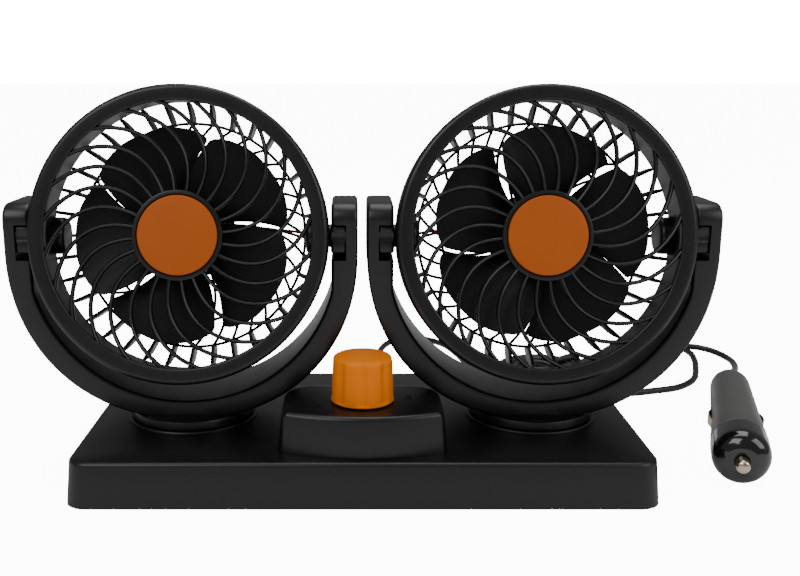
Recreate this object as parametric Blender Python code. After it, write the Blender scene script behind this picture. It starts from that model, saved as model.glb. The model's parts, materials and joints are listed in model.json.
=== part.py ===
"""Dual head car fan: two fan heads in swivelling yokes on one switch base, with a cord and a 12 V plug.

Lengths are in metres. The base stands on z = 0 with its centre over the origin, +X to the right and
the front towards -Y. A head is modelled about its own axis: +Z is the way it blows, +Y is up.
"""
import math

import bmesh
import bpy
from mathutils import Matrix, Vector

# Clearances, overruns and smoothing
GAP = 0.0003
RUNNING_GAP = 0.0005
OVERRUN = 0.002
SHARP_ANGLE = math.radians(35)
MERGE = 0.00001
ROUND_STEPS = 20
SMALL_ROUND_STEPS = 12

# Driving sizes: a fan head's ring, the yoke that clears it at every tilt, and the two yokes side by side
RING_RADIUS = 0.0553
RING_FRONT = 0.0230
YOKE_ARC_DROP = 0.0041
YOKE_BOTTOM_CLEARANCE = 0.0022
YOKE_SIDE_CLEARANCE = 0.0008
YOKE_BOTTOM_THICKNESS = 0.0076
YOKE_ARM_THICKNESS = 0.0100
YOKES_APART = 0.0034
HEAD_SWEEP_RADIUS = math.hypot(RING_RADIUS, RING_FRONT)
YOKE_INNER_RADIUS = HEAD_SWEEP_RADIUS - YOKE_ARC_DROP + YOKE_BOTTOM_CLEARANCE
YOKE_OUTER_RISE = YOKE_INNER_RADIUS + YOKE_BOTTOM_THICKNESS
YOKE_ARM_INNER = RING_RADIUS + YOKE_SIDE_CLEARANCE
YOKE_HALF_SPAN = YOKE_ARM_INNER + YOKE_ARM_THICKNESS
SWIVEL_SPACING = 2 * YOKE_HALF_SPAN + YOKES_APART

# Base shell: a shallow drafted tray, open below
BASE_END_MARGIN = 0.0377
BASE_LENGTH = SWIVEL_SPACING + 2 * BASE_END_MARGIN
BASE_DEPTH = 0.106
BASE_HEIGHT = 0.0179
BASE_DRAFT = 0.0014
BASE_CORNER = 0.008
BASE_EDGE = 0.0015
BASE_WALL = 0.0022
BASE_LIFT = 0.0010
BASE_CORNER_STEPS = 3

# Switch boss on the base
BOSS_WIDTH = 0.062
BOSS_DEPTH = 0.040
BOSS_HEIGHT = 0.0152
BOSS_SETBACK = 0.0037
BOSS_DRAFT = 0.0016
BOSS_EDGE = 0.0020
BOSS_WALL = 0.0022
BOSS_STEPS = 24
BOSS_FRONT_POWER = 3.0
BOSS_BACK_POWER = 4.5

# Base plate, feet and screws
PLATE_THICKNESS = 0.0018
FOOT_RADIUS = 0.0065
FOOT_INSET = 0.0130
POST_RADIUS = 0.0036
POST_BORE = 0.0013
POST_INSET = 0.0240
SCREW_HEAD_RADIUS = 0.0028
SCREW_HEAD_HEIGHT = 0.0014
SCREW_SHANK_RADIUS = 0.0010
SCREW_LENGTH = 0.0080

# Swivel joint between a yoke and the base
PEDESTAL_RADIUS = 0.0256
PEDESTAL_HEIGHT = 0.0008
SPIGOT_RADIUS = 0.0080
RETAINER_RADIUS = 0.0120
RETAINER_THICKNESS = 0.0016
YOKE_SCREW_RADIUS = 0.0014
YOKE_SCREW_HEAD_RADIUS = 0.0032
YOKE_SCREW_HEAD_HEIGHT = 0.0018
YOKE_SCREW_LENGTH = 0.0070

# Yoke
YOKE_HALF_DEPTH = 0.0165
YOKE_EDGE = 0.0014
YOKE_ARM_TOP = 0.0150
YOKE_TIP_RADIUS = 0.0120
YOKE_SEAT = 0.0013
YOKE_ARC_STEPS = 16
YOKE_SHOULDER_RATIO = 1.4
YOKE_TIP_STEPS = 3
YOKE_TIP_SHARE = 0.94
YOKE_FOOT_RADIUS = 0.0240
YOKE_FOOT_HEIGHT = 0.0032
NOTCH_DEPTH = 0.0056
NOTCH_RISE = 0.0066
NOTCH_DROP = 0.0068
NOTCH_BACK = 0.0070

# Tilt joint
PIVOT_HEIGHT = (BASE_HEIGHT + PEDESTAL_HEIGHT + RUNNING_GAP + YOKE_SEAT + YOKE_OUTER_RISE
                + YOKE_ARC_DROP)
TRUNNION_RADIUS = 0.0045
TRUNNION_COVER = 0.0019
TRUNNION_BOSS_RADIUS = 0.0066
TRUNNION_BOSS_REACH = 0.0050
LEFT_TILT = math.radians(9.8)
RIGHT_TILT = math.radians(9.6)

# Front grille: ring, hub cup and curved spokes
RING_ROUND = 0.0020
RING_LIP_WIDTH = 0.0061
RING_LIP_RADIUS = RING_RADIUS - RING_LIP_WIDTH
RING_LIP_THICKNESS = 0.0040
RING_WALL = 0.0020
RING_SKIRT_BACK = 0.0060
HUB_RING_RADIUS = 0.0166
HUB_RING_BACK = 0.0180
HUB_CUP_RADIUS = 0.0150
HUB_CUP_DEPTH = 0.0026
HUB_STEPS = 20
SPOKE_COUNT = 24
SPOKE_WIDTH = 0.0017
SPOKE_DEPTH = 0.0030
SPOKE_SINK = 0.0008
SPOKE_SWEEP = math.radians(33.5)
SPOKE_PHASE = math.radians(4.0)
SPOKE_STEPS = 4
CAP_RISE = 0.0006
CAP_EDGE = 0.0006

# Rear cover: rim band, swept ribs, middle ring and motor cup
BAND_FRONT_LAP = 0.0115
BAND_WALL = 0.0018
BAND_BACK = 0.0005
MIDDLE_RING_INSET = 0.0108
MIDDLE_RING_RADIUS = RING_RADIUS - MIDDLE_RING_INSET
MIDDLE_RING_WIDTH = 0.0016
BASKET_BACK = -0.0220
RIB_COUNT = 36
RIB_WIDTH = 0.0013
RIB_DEPTH = 0.0020
RIB_SWEEP = math.radians(-32)
RIB_PHASE = math.radians(3.0)
RIB_SWEEP_POWER = 1.6
BASKET_RADIUS_POWER = 2.2
BASKET_DEPTH_POWER = 0.6
CUP_STEPS = RIB_COUNT // 2
CUP_RADIUS = 0.0142
CUP_WALL = 0.0017
CUP_FLOOR = 0.0014
CUP_FRONT = -0.0060
CUP_FLANGE = 0.0168

# Motor, shaft and impeller
MOTOR_RADIUS = 0.0122
MOTOR_FRONT = 0.0010
MOTOR_NOSE_RADIUS = 0.0035
MOTOR_NOSE_LENGTH = 0.0015
SHAFT_RADIUS = 0.0010
SHAFT_SINK = 0.0050
IMPELLER_BACK = 0.0032
IMPELLER_FRONT = 0.0156
IMPELLER_HUB_RADIUS = 0.0140
IMPELLER_WALL = 0.0014
IMPELLER_BOSS_RADIUS = 0.0030
BLADE_COUNT = 5
BLADE_TIP_CLEARANCE = 0.0080
BLADE_TIP_RADIUS = RING_LIP_RADIUS - BLADE_TIP_CLEARANCE
BLADE_THICKNESS = 0.0011
BLADE_ROOT_BACK = 0.0040
BLADE_ROOT_FRONT = 0.0146
BLADE_TIP_BACK = 0.0050
BLADE_TIP_FRONT = 0.0130
BLADE_ANGLE = math.radians(66)
BLADE_SWEEP = math.radians(-18)
BLADE_CAMBER = 0.0012
BLADE_TIP_ROUND_SHARE = 0.16
BLADE_TIP_TRIM_SHARE = 0.92
BLADE_SPAN_SHARES = (0, 0.45, 0.84, 1)
BLADE_CHORD_SHARES = (0, 0.33, 0.67, 1)
LEFT_BLADE_PHASE = math.radians(54)
RIGHT_BLADE_PHASE = math.radians(24)
LEAD_DIAMETER = 0.0018
LEAD_PLACE = -0.0095
LEAD_SHARES = (0, 0.1, 0.3, 0.5, 0.7, 0.9, 1)

# Knob and switch
KNOB_RADIUS = 0.0117
KNOB_TOP_RADIUS = 0.0108
KNOB_HEIGHT = 0.0172
KNOB_SKIRT = 0.0030
KNOB_EDGE = 0.0014
KNOB_DOME = 0.0005
KNOB_FLUTES = 8
KNOB_FLUTE_DEPTH = 0.0007
KNOB_FLUTE_SHARE = 0.42
KNOB_STEPS = 40
KNOB_RECESS_RADIUS = 0.0080
KNOB_RECESS_DEPTH = 0.0042
SWITCH_SHAFT_RADIUS = 0.0030
SWITCH_SHAFT_REACH = 0.0120
BUSHING_RADIUS = 0.0046
BUSHING_RISE = 0.0034
NUT_RADIUS = 0.0068
NUT_HEIGHT = 0.0022
SWITCH_WIDTH = 0.0200
SWITCH_DEPTH = 0.0180
SWITCH_HEIGHT = 0.0130

# Cord, coil and tie
CORD_DIAMETER = 0.0032
CORD_LIFT = 0.0001
CORD_EXIT_SHIFT = 0.0040
CORD_EXIT_HEIGHT = 0.0085
BUSH_FLANGE_RADIUS = 0.0046
BUSH_FLANGE_LENGTH = 0.0016
BUSH_NECK_RADIUS = 0.0030
BUSH_TAIL_RADIUS = 0.0022
BUSH_TAIL_LENGTH = 0.0090
CORD_STEP = 0.0096
COIL_CENTRE = (0.0918, 0.0950)
COIL_INNER_RADIUS = 0.0125
COIL_PITCH = 0.0038
COIL_LAYER_PITCH = 0.0038
COIL_TURNS = 5.25
COIL_POINTS_PER_TURN = 24
TIE_THICKNESS = 0.0008
TIE_WIDTH = 0.0045
TIE_ANGLE = math.radians(40)

# Plug, lying on the ground
PLUG_LENGTH = 0.1000
PLUG_RADIUS = 0.0108
PLUG_TAIL_RADIUS = 0.0084
PLUG_HEIGHT = 0.0110
PLUG_PLACE = (0.1410, -0.0351)
PLUG_HEADING = math.radians(72.4)
PLUG_RISE = math.radians(2.0)
PLUG_PIN_RADIUS = 0.0026
PLUG_PIN_REACH = 0.0060
PLUG_PIN_TRAVEL = 0.0030
PLUG_NOSE_LENGTH = 0.0165
PLUG_NOSE_FACE_RADIUS = 0.0060
PLUG_NOSE_TAPER = 0.0060
PLUG_SHOULDER = 0.0090
PLUG_NECK_RADIUS = 0.0026
PLUG_NECK_LENGTH = 0.0040
PLUG_BORE = 0.0042
PLUG_BORE_LENGTH = 0.0400
PLUG_CONTACT_PLACE = 0.0330
PLUG_CONTACT_LENGTH = 0.0180
PLUG_CONTACT_WIDTH = 0.0040
PLUG_CONTACT_THICKNESS = 0.0006
PLUG_CONTACT_RISE = 0.0020
PLUG_CONTACT_SHARES = (0, 0.18, 0.35, 0.5, 0.65, 0.82, 1)
PLUG_SLOT_DEPTH = 0.0036
FUSE_RADIUS = 0.0030
FUSE_LENGTH = 0.0200

# Route points of the cord on the ground, chosen by hand: (x, y, height over the ground)
LEAD_ROUTE = [
    (0.0042, 0.0730, 0.0060), (0.0055, 0.0930, 0.0010), (0.0085, 0.1230, 0.0000), (0.0140, 0.1535, 0.0000),
    (0.0230, 0.1675, 0.0000), (0.0360, 0.1695, 0.0000), (0.0475, 0.1575, 0.0000), (0.0530, 0.1385, 0.0004),
    (0.0570, 0.1185, 0.0010),
]
TAIL_ROUTE = [
    (0.1120, 0.0660, 0.0020), (0.1270, 0.0710, 0.0000), (0.1435, 0.0755, 0.0000), (0.1565, 0.0810, 0.0000),
    (0.1675, 0.0930, 0.0000), (0.1745, 0.1100, 0.0000), (0.1800, 0.1285, 0.0000), (0.1815, 0.1435, 0.0000),
    (0.1760, 0.1575, 0.0000), (0.1635, 0.1625, 0.0000), (0.1540, 0.1545, 0.0002), (0.1565, 0.1435, 0.0018),
    (0.1665, 0.1385, 0.0036), (0.1805, 0.1375, 0.0044), (0.1900, 0.1325, 0.0036), (0.1945, 0.1205, 0.0030),
    (0.1925, 0.1060, 0.0040), (0.1870, 0.0910, 0.0060), (0.1805, 0.0770, 0.0090),
]

# Colours: name, colour, roughness, metallic
BLACK = ("black_plastic", (0.012, 0.012, 0.013), 0.42, 0.0)
DARK = ("dark_plastic", (0.018, 0.018, 0.019), 0.55, 0.0)
ORANGE = ("orange_plastic", (0.62, 0.17, 0.02), 0.45, 0.0)
STEEL = ("steel", (0.45, 0.45, 0.46), 0.30, 1.0)
BRASS = ("nickel_brass", (0.62, 0.50, 0.34), 0.28, 1.0)
RUBBER = ("rubber", (0.02, 0.02, 0.02), 0.80, 0.0)
RED = ("red_wire", (0.35, 0.03, 0.02), 0.50, 0.0)


def material(choice):
    """The named Principled material of one choice above, made once."""
    name, colour, roughness, metallic = choice
    if name in bpy.data.materials:
        return bpy.data.materials[name]
    made = bpy.data.materials.new(name)
    made.use_nodes = True
    shader = made.node_tree.nodes["Principled BSDF"]
    shader.inputs["Base Color"].default_value = (*colour, 1.0)
    shader.inputs["Roughness"].default_value = roughness
    shader.inputs["Metallic"].default_value = metallic
    return made


def make_object(name, bm, choice):
    """Turns a bmesh into a named, smooth-shaded object with outward faces."""
    bmesh.ops.recalc_face_normals(bm, faces=bm.faces)
    bmesh.ops.triangulate(bm, faces=[face for face in bm.faces if len(face.verts) > 4])
    mesh = bpy.data.meshes.new(name)
    bm.to_mesh(mesh)
    bm.free()
    made = bpy.data.objects.new(name, mesh)
    bpy.context.collection.objects.link(made)
    mesh.materials.append(material(choice))
    shade(made)
    return made


def shade(made):
    """Smooth shading that keeps the hard edges."""
    made.data.shade_smooth()
    made.data.set_sharp_from_angle(angle=SHARP_ANGLE)


def turned(profile, steps, closed=False, start=0):
    """Spins (radius, height) points about the Z axis; a closed profile makes a ring."""
    bm = bmesh.new()
    c = math.cos(start)
    s = math.sin(start)
    points = [bm.verts.new((radius * c, radius * s, height)) for radius, height in profile]
    pairs = list(zip(points, points[1:]))
    if closed:
        pairs.append((points[-1], points[0]))
    edges = [bm.edges.new(pair) for pair in pairs]
    bmesh.ops.spin(bm, geom=points + edges, cent=(0, 0, 0), axis=(0, 0, 1), angle=math.tau, steps=steps,
                   use_merge=True)
    bmesh.ops.remove_doubles(bm, verts=bm.verts, dist=MERGE)
    return bm


def lofted(bm, rings):
    """Skins a row of rings with as many points each, and closes both ends."""
    rows = [[bm.verts.new(point) for point in ring] for ring in rings]
    count = len(rows[0])
    for low, high in zip(rows, rows[1:]):
        for i in range(count):
            j = (i + 1) % count
            bm.faces.new((low[i], low[j], high[j], high[i]))
    bm.faces.new(rows[0])
    bm.faces.new(rows[-1])
    return bm


def loft_object(name, rings, choice):
    """One lofted solid as an object."""
    return make_object(name, lofted(bmesh.new(), rings), choice)


def box_object(name, low, high, choice):
    """A box from its low corner to its high corner."""
    bm = bmesh.new()
    size = [h - l for l, h in zip(low, high)]
    middle = [(h + l) / 2 for l, h in zip(low, high)]
    bmesh.ops.create_cube(bm, size=1, matrix=Matrix.Translation(middle) @ Matrix.Diagonal((*size, 1)))
    return make_object(name, bm, choice)


def rod_object(name, radius, start, end, steps, choice):
    """A straight rod between two points."""
    bm = turned([(0, 0), (radius, 0), (radius, (end - start).length), (0, (end - start).length)], steps)
    turn = (end - start).to_track_quat("Z", "Y").to_matrix().to_4x4()
    bmesh.ops.transform(bm, matrix=Matrix.Translation(start) @ turn, verts=bm.verts)
    return make_object(name, bm, choice)


def combine(target, tool, operation):
    """Applies one exact Boolean, removes its tool and splits the many-sided faces that it leaves."""
    modifier = target.modifiers.new(operation, "BOOLEAN")
    modifier.operation = operation
    modifier.solver = "EXACT"
    modifier.object = tool
    bpy.context.view_layer.objects.active = target
    with bpy.context.temp_override(object=target, active_object=target):
        bpy.ops.object.modifier_apply(modifier=modifier.name)
    bpy.data.objects.remove(tool)
    bm = bmesh.new()
    bm.from_mesh(target.data)
    bmesh.ops.triangulate(bm, faces=[face for face in bm.faces if len(face.verts) > 4])
    bm.to_mesh(target.data)
    bm.free()
    shade(target)


def join(target, tool):
    combine(target, tool, "UNION")


def cut(target, tool):
    combine(target, tool, "DIFFERENCE")


def empty(name, location, parent=None, rotation=(0, 0, 0)):
    """An empty on a joint's axis."""
    made = bpy.data.objects.new(name, None)
    bpy.context.collection.objects.link(made)
    made.location = location
    made.rotation_euler = rotation
    made.parent = parent
    return made


def place(made, parent=None, location=(0, 0, 0), rotation=(0, 0, 0)):
    made.parent = parent
    made.location = location
    made.rotation_euler = rotation
    return made


def copy_of(made, name, parent):
    """A second object with the same mesh."""
    twin = bpy.data.objects.new(name, made.data)
    bpy.context.collection.objects.link(twin)
    twin.parent = parent
    return twin


# Base

def base_ring(height, inset):
    """The base's rounded outline at one height, drawn in from its drafted wall."""
    spread = BASE_DRAFT * (1 - height / BASE_HEIGHT) - inset
    half_x = BASE_LENGTH / 2 + spread
    half_y = BASE_DEPTH / 2 + spread
    radius = BASE_CORNER + spread
    ring = []
    for quarter, (sx, sy) in enumerate(((1, 1), (-1, 1), (-1, -1), (1, -1))):
        for step in range(BASE_CORNER_STEPS + 1):
            angle = (quarter + step / BASE_CORNER_STEPS) * math.pi / 2
            x = sx * (half_x - radius) + radius * math.cos(angle)
            y = sy * (half_y - radius) + radius * math.sin(angle)
            ring.append((x, y, height))
    return ring


def boss_centre():
    """Y of the boss's middle, set back from the base's front top edge."""
    return -BASE_DEPTH / 2 + BOSS_SETBACK + BOSS_DEPTH / 2


def boss_ring(height, inset):
    """The boss's outline: bowed at the front, squarer at the back."""
    half_x = BOSS_WIDTH / 2 - inset
    half_y = BOSS_DEPTH / 2 - inset
    ring = []
    for step in range(BOSS_STEPS):
        angle = math.tau * step / BOSS_STEPS
        c = math.cos(angle)
        s = math.sin(angle)
        power = BOSS_BACK_POWER if s > 0 else BOSS_FRONT_POWER
        reach = (abs(c) ** power + abs(s) ** power) ** (-1 / power)
        ring.append((half_x * reach * c, boss_centre() + half_y * reach * s, height))
    return ring


def boss_top():
    return BASE_HEIGHT + BOSS_HEIGHT


def edge_rings(ring, top, edge, inset, steps=2):
    """Rings of a rounded upper edge, ending flat at the top."""
    rings = []
    for step in range(steps + 1):
        angle = step / steps * math.pi / 2
        rings.append(ring(top - edge * (1 - math.sin(angle)), inset + edge * (1 - math.cos(angle))))
    return rings


def swivel_places():
    return (("left", -SWIVEL_SPACING / 2), ("right", SWIVEL_SPACING / 2))


def post_places():
    x = BASE_LENGTH / 2 - POST_INSET
    y = BASE_DEPTH / 2 - POST_INSET / 2
    return [(sx * x, sy * y) for sy in (-1, 1) for sx in (-1, 1)]


def cord_exit():
    """The outer face of the base's back wall where the cord bush sits."""
    low_edge = CORD_EXIT_HEIGHT - BUSH_FLANGE_RADIUS
    wall = BASE_DEPTH / 2 + BASE_DRAFT * (1 - low_edge / BASE_HEIGHT)
    return Vector((CORD_EXIT_SHIFT, wall + GAP, CORD_EXIT_HEIGHT))


def make_base():
    rings = [base_ring(BASE_LIFT, 0)] + edge_rings(base_ring, BASE_HEIGHT, BASE_EDGE, 0)
    shell = loft_object("base_shell", rings, BLACK)

    def drafted(height, inset):
        share = (height - BASE_HEIGHT) / BOSS_HEIGHT
        return boss_ring(height, inset + BOSS_DRAFT * share)

    low = drafted(BASE_HEIGHT - BASE_WALL / 2, 0)
    boss = loft_object("boss", [low] + edge_rings(drafted, boss_top(), BOSS_EDGE, 0), BLACK)
    join(shell, boss)
    for side, x in swivel_places():
        low = BASE_HEIGHT - BASE_WALL / 2
        top = BASE_HEIGHT + PEDESTAL_HEIGHT
        edge = PEDESTAL_HEIGHT / 2
        profile = [(0, low), (PEDESTAL_RADIUS, low), (PEDESTAL_RADIUS, top - edge),
                   (PEDESTAL_RADIUS - edge, top), (0, top)]
        pedestal = make_object("pedestal", turned(profile, ROUND_STEPS), BLACK)
        pedestal.data.transform(Matrix.Translation((x, 0, 0)))
        join(shell, pedestal)
    ceiling = BASE_HEIGHT - BASE_WALL
    rings = [base_ring(BASE_LIFT - OVERRUN, BASE_WALL), base_ring(ceiling, BASE_WALL)]
    cavity = loft_object("cavity", rings, BLACK)
    cut(shell, cavity)
    hollow_top = boss_top() - BOSS_WALL
    hollow = loft_object("hollow", [boss_ring(ceiling - OVERRUN, BOSS_WALL + BOSS_DRAFT),
                                    boss_ring(hollow_top, BOSS_WALL + BOSS_DRAFT)], BLACK)
    cut(shell, hollow)
    hole_low = ceiling - OVERRUN
    for side, x in swivel_places():
        hole = rod_object("hole", SPIGOT_RADIUS + GAP, Vector((x, 0, hole_low)),
                          Vector((x, 0, BASE_HEIGHT + OVERRUN)), SMALL_ROUND_STEPS, BLACK)
        cut(shell, hole)
    hole = rod_object("hole", BUSHING_RADIUS + GAP, Vector((0, boss_centre(), hollow_top - OVERRUN)),
                      Vector((0, boss_centre(), boss_top() + OVERRUN)), SMALL_ROUND_STEPS, BLACK)
    cut(shell, hole)
    start = cord_exit()
    inward = Vector((0, BASE_WALL + BASE_DRAFT + OVERRUN, 0))
    hole = rod_object("hole", BUSH_NECK_RADIUS + GAP, start - inward, start + Vector((0, OVERRUN, 0)),
                      SMALL_ROUND_STEPS, BLACK)
    cut(shell, hole)
    post_low = BASE_LIFT + PLATE_THICKNESS + GAP
    for x, y in post_places():
        post = rod_object("post", POST_RADIUS, Vector((x, y, post_low)),
                          Vector((x, y, BASE_HEIGHT - BASE_WALL / 2)), 6, BLACK)
        join(shell, post)
        bore = rod_object("bore", POST_BORE, Vector((x, y, post_low - OVERRUN)),
                          Vector((x, y, post_low + SCREW_LENGTH)), 6, BLACK)
        cut(shell, bore)
    return shell


def make_base_plate():
    """The plate lies inside the shell's skirt, flush with its lower edge."""
    low = BASE_LIFT
    high = BASE_LIFT + PLATE_THICKNESS
    inset = BASE_WALL + GAP
    plate = loft_object("base_plate", [base_ring(low, inset), base_ring(high, inset)], DARK)
    for number, (x, y) in enumerate(post_places(), 1):
        neck = SCREW_SHANK_RADIUS + GAP
        over = PLATE_THICKNESS + OVERRUN
        profile = [(0, -OVERRUN), (SCREW_HEAD_RADIUS + GAP, -OVERRUN), (SCREW_HEAD_RADIUS + GAP, 0),
                   (neck, SCREW_HEAD_HEIGHT), (neck, over), (0, over)]
        sink = make_object("sink", turned(profile, 8), DARK)
        sink.data.transform(Matrix.Translation((x, y, low)))
        cut(plate, sink)
        profile = [(0, 0), (SCREW_HEAD_RADIUS, 0), (SCREW_SHANK_RADIUS, SCREW_HEAD_HEIGHT),
                   (SCREW_SHANK_RADIUS, SCREW_LENGTH - SCREW_SHANK_RADIUS), (0, SCREW_LENGTH)]
        screw = make_object("base_screw_%d" % number, turned(profile, 8), STEEL)
        place(screw, location=(x, y, low))
    return plate


def make_feet():
    x = BASE_LENGTH / 2 - FOOT_INSET
    y = BASE_DEPTH / 2 - FOOT_INSET
    names = ("front_left", "front_right", "back_left", "back_right")
    spots = [(sx * x, sy * y) for sy in (-1, 1) for sx in (-1, 1)]
    for name, (foot_x, foot_y) in zip(names, spots):
        height = BASE_LIFT - GAP
        profile = [(0, 0), (FOOT_RADIUS, 0), (FOOT_RADIUS, height), (0, height)]
        place(make_object("foot_" + name, turned(profile, 10), RUBBER), location=(foot_x, foot_y, 0))


# Knob and switch

def make_switch():
    """Switch body under the boss, its bushing through the boss top and the nut on it."""
    y = boss_centre()
    top = boss_top() - BOSS_WALL - GAP
    half_x = SWITCH_WIDTH / 2
    half_y = SWITCH_DEPTH / 2
    low = (-half_x, y - half_y, top - SWITCH_HEIGHT)
    body = box_object("speed_switch", low, (half_x, y + half_y, top), DARK)
    bushing = rod_object("bushing", BUSHING_RADIUS, Vector((0, y, top - OVERRUN)),
                         Vector((0, y, boss_top() + BUSHING_RISE)), SMALL_ROUND_STEPS, DARK)
    join(body, bushing)
    bore = rod_object("bore", SWITCH_SHAFT_RADIUS + GAP, Vector((0, y, top - SWITCH_HEIGHT / 2)),
                      Vector((0, y, boss_top() + BUSHING_RISE + OVERRUN)), SMALL_ROUND_STEPS, DARK)
    cut(body, bore)
    nut = rod_object("switch_nut", NUT_RADIUS, Vector((0, 0, 0)), Vector((0, 0, NUT_HEIGHT)), 6, STEEL)
    bore = rod_object("bore", BUSHING_RADIUS + GAP, Vector((0, 0, -OVERRUN)),
                      Vector((0, 0, NUT_HEIGHT + OVERRUN)), SMALL_ROUND_STEPS, STEEL)
    cut(nut, bore)
    place(nut, location=(0, y, boss_top() + GAP))


def flute_radius(angle, radius):
    """The fluted radius of the knob: a shallow hollow at the middle of each of its equal shares."""
    share = (angle * KNOB_FLUTES / math.tau + 0.5) % 1 - 0.5
    if abs(share) > KNOB_FLUTE_SHARE / 2:
        return radius
    return radius - KNOB_FLUTE_DEPTH * (1 + math.cos(math.tau * share / KNOB_FLUTE_SHARE)) / 2


def knob_ring(height, radius, fluted):
    ring = []
    for step in range(KNOB_STEPS):
        angle = math.tau * step / KNOB_STEPS
        reach = flute_radius(angle, radius) if fluted else radius
        ring.append((reach * math.cos(angle), reach * math.sin(angle), height))
    return ring


def make_knob(axis):
    """The knob's own base plane lies a running gap over the boss."""
    edge_low = KNOB_HEIGHT - KNOB_DOME - KNOB_EDGE
    rings = [knob_ring(0, KNOB_RADIUS, False), knob_ring(KNOB_SKIRT, KNOB_RADIUS, False),
             knob_ring(KNOB_SKIRT + KNOB_FLUTE_DEPTH / 2, KNOB_RADIUS - KNOB_FLUTE_DEPTH / 4, True),
             knob_ring(edge_low, KNOB_TOP_RADIUS, True),
             knob_ring(edge_low + KNOB_EDGE * 0.8, KNOB_TOP_RADIUS - KNOB_EDGE * 0.6, False),
             knob_ring(KNOB_HEIGHT, KNOB_TOP_RADIUS / 4, False)]
    knob = loft_object("knob", rings, ORANGE)
    recess = rod_object("recess", KNOB_RECESS_RADIUS, Vector((0, 0, -OVERRUN)),
                        Vector((0, 0, KNOB_RECESS_DEPTH)), SMALL_ROUND_STEPS, ORANGE)
    cut(knob, recess)
    bore = rod_object("bore", SWITCH_SHAFT_RADIUS + GAP, Vector((0, 0, -OVERRUN)),
                      Vector((0, 0, SWITCH_SHAFT_REACH + GAP)), SMALL_ROUND_STEPS, ORANGE)
    cut(knob, bore)
    place(knob, axis)
    foot = -(BOSS_WALL + SWITCH_HEIGHT / 2)
    shaft = rod_object("switch_shaft", SWITCH_SHAFT_RADIUS, Vector((0, 0, foot + RUNNING_GAP)),
                       Vector((0, 0, SWITCH_SHAFT_REACH)), SMALL_ROUND_STEPS, STEEL)
    place(shaft, axis)


# Yoke

def yoke_arc_angles():
    """Angles round the yoke's bottom, with stations where the arm's inner face ends and soon after it."""
    shoulder = math.acos(min(1, YOKE_ARM_INNER / YOKE_INNER_RADIUS))
    shoulder = max(shoulder, math.pi / YOKE_ARC_STEPS)
    first = shoulder * YOKE_SHOULDER_RATIO
    count = YOKE_ARC_STEPS - 4
    angles = [0, shoulder]
    for step in range(count + 1):
        angles.append(first + (math.pi - 2 * first) * step / count)
    return angles + [math.pi - shoulder, math.pi]


def yoke_stations():
    """Outer point, inner point and half depth along the yoke, from one arm's tip round to the other."""
    flat = YOKE_HALF_DEPTH - YOKE_TIP_RADIUS
    round_centre = YOKE_ARM_TOP - YOKE_TIP_RADIUS
    stations = []
    for step in range(YOKE_TIP_STEPS):
        angle = math.pi / 2 * (1 - step / YOKE_TIP_STEPS) * YOKE_TIP_SHARE
        height = round_centre + YOKE_TIP_RADIUS * math.sin(angle)
        stations.append((height, flat + YOKE_TIP_RADIUS * math.cos(angle)))
    arc = []
    for turned_by in yoke_arc_angles():
        angle = math.pi + turned_by
        outer_z = YOKE_OUTER_RISE * math.sin(angle) - YOKE_ARC_DROP
        outer = Vector((YOKE_HALF_SPAN * math.cos(angle), outer_z))
        inner_x = YOKE_INNER_RADIUS * math.cos(angle)
        inner_z = YOKE_INNER_RADIUS * math.sin(angle)
        inner_x = max(-YOKE_ARM_INNER, min(YOKE_ARM_INNER, inner_x))
        arc.append((outer, Vector((inner_x, -YOKE_ARC_DROP + inner_z)), YOKE_HALF_DEPTH))
    left = [(Vector((-YOKE_HALF_SPAN, z)), Vector((-YOKE_ARM_INNER, z)), half) for z, half in stations]
    right = [(Vector((YOKE_HALF_SPAN, z)), Vector((YOKE_ARM_INNER, z)), half) for z, half in stations[::-1]]
    return left + arc + right


def yoke_ring(outer, inner, half_depth):
    """A rectangular section with bevelled corners, across the strap."""
    across = (inner - outer).normalized()
    edge = min(YOKE_EDGE, half_depth / 2)
    a = outer + across * edge
    b = inner - across * edge
    low = half_depth - edge
    flat = [(outer, -low), (a, -half_depth), (b, -half_depth), (inner, -low),
            (inner, low), (b, half_depth), (a, half_depth), (outer, low)]
    return [(point.x, y, point.y) for point, y in flat]


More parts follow.
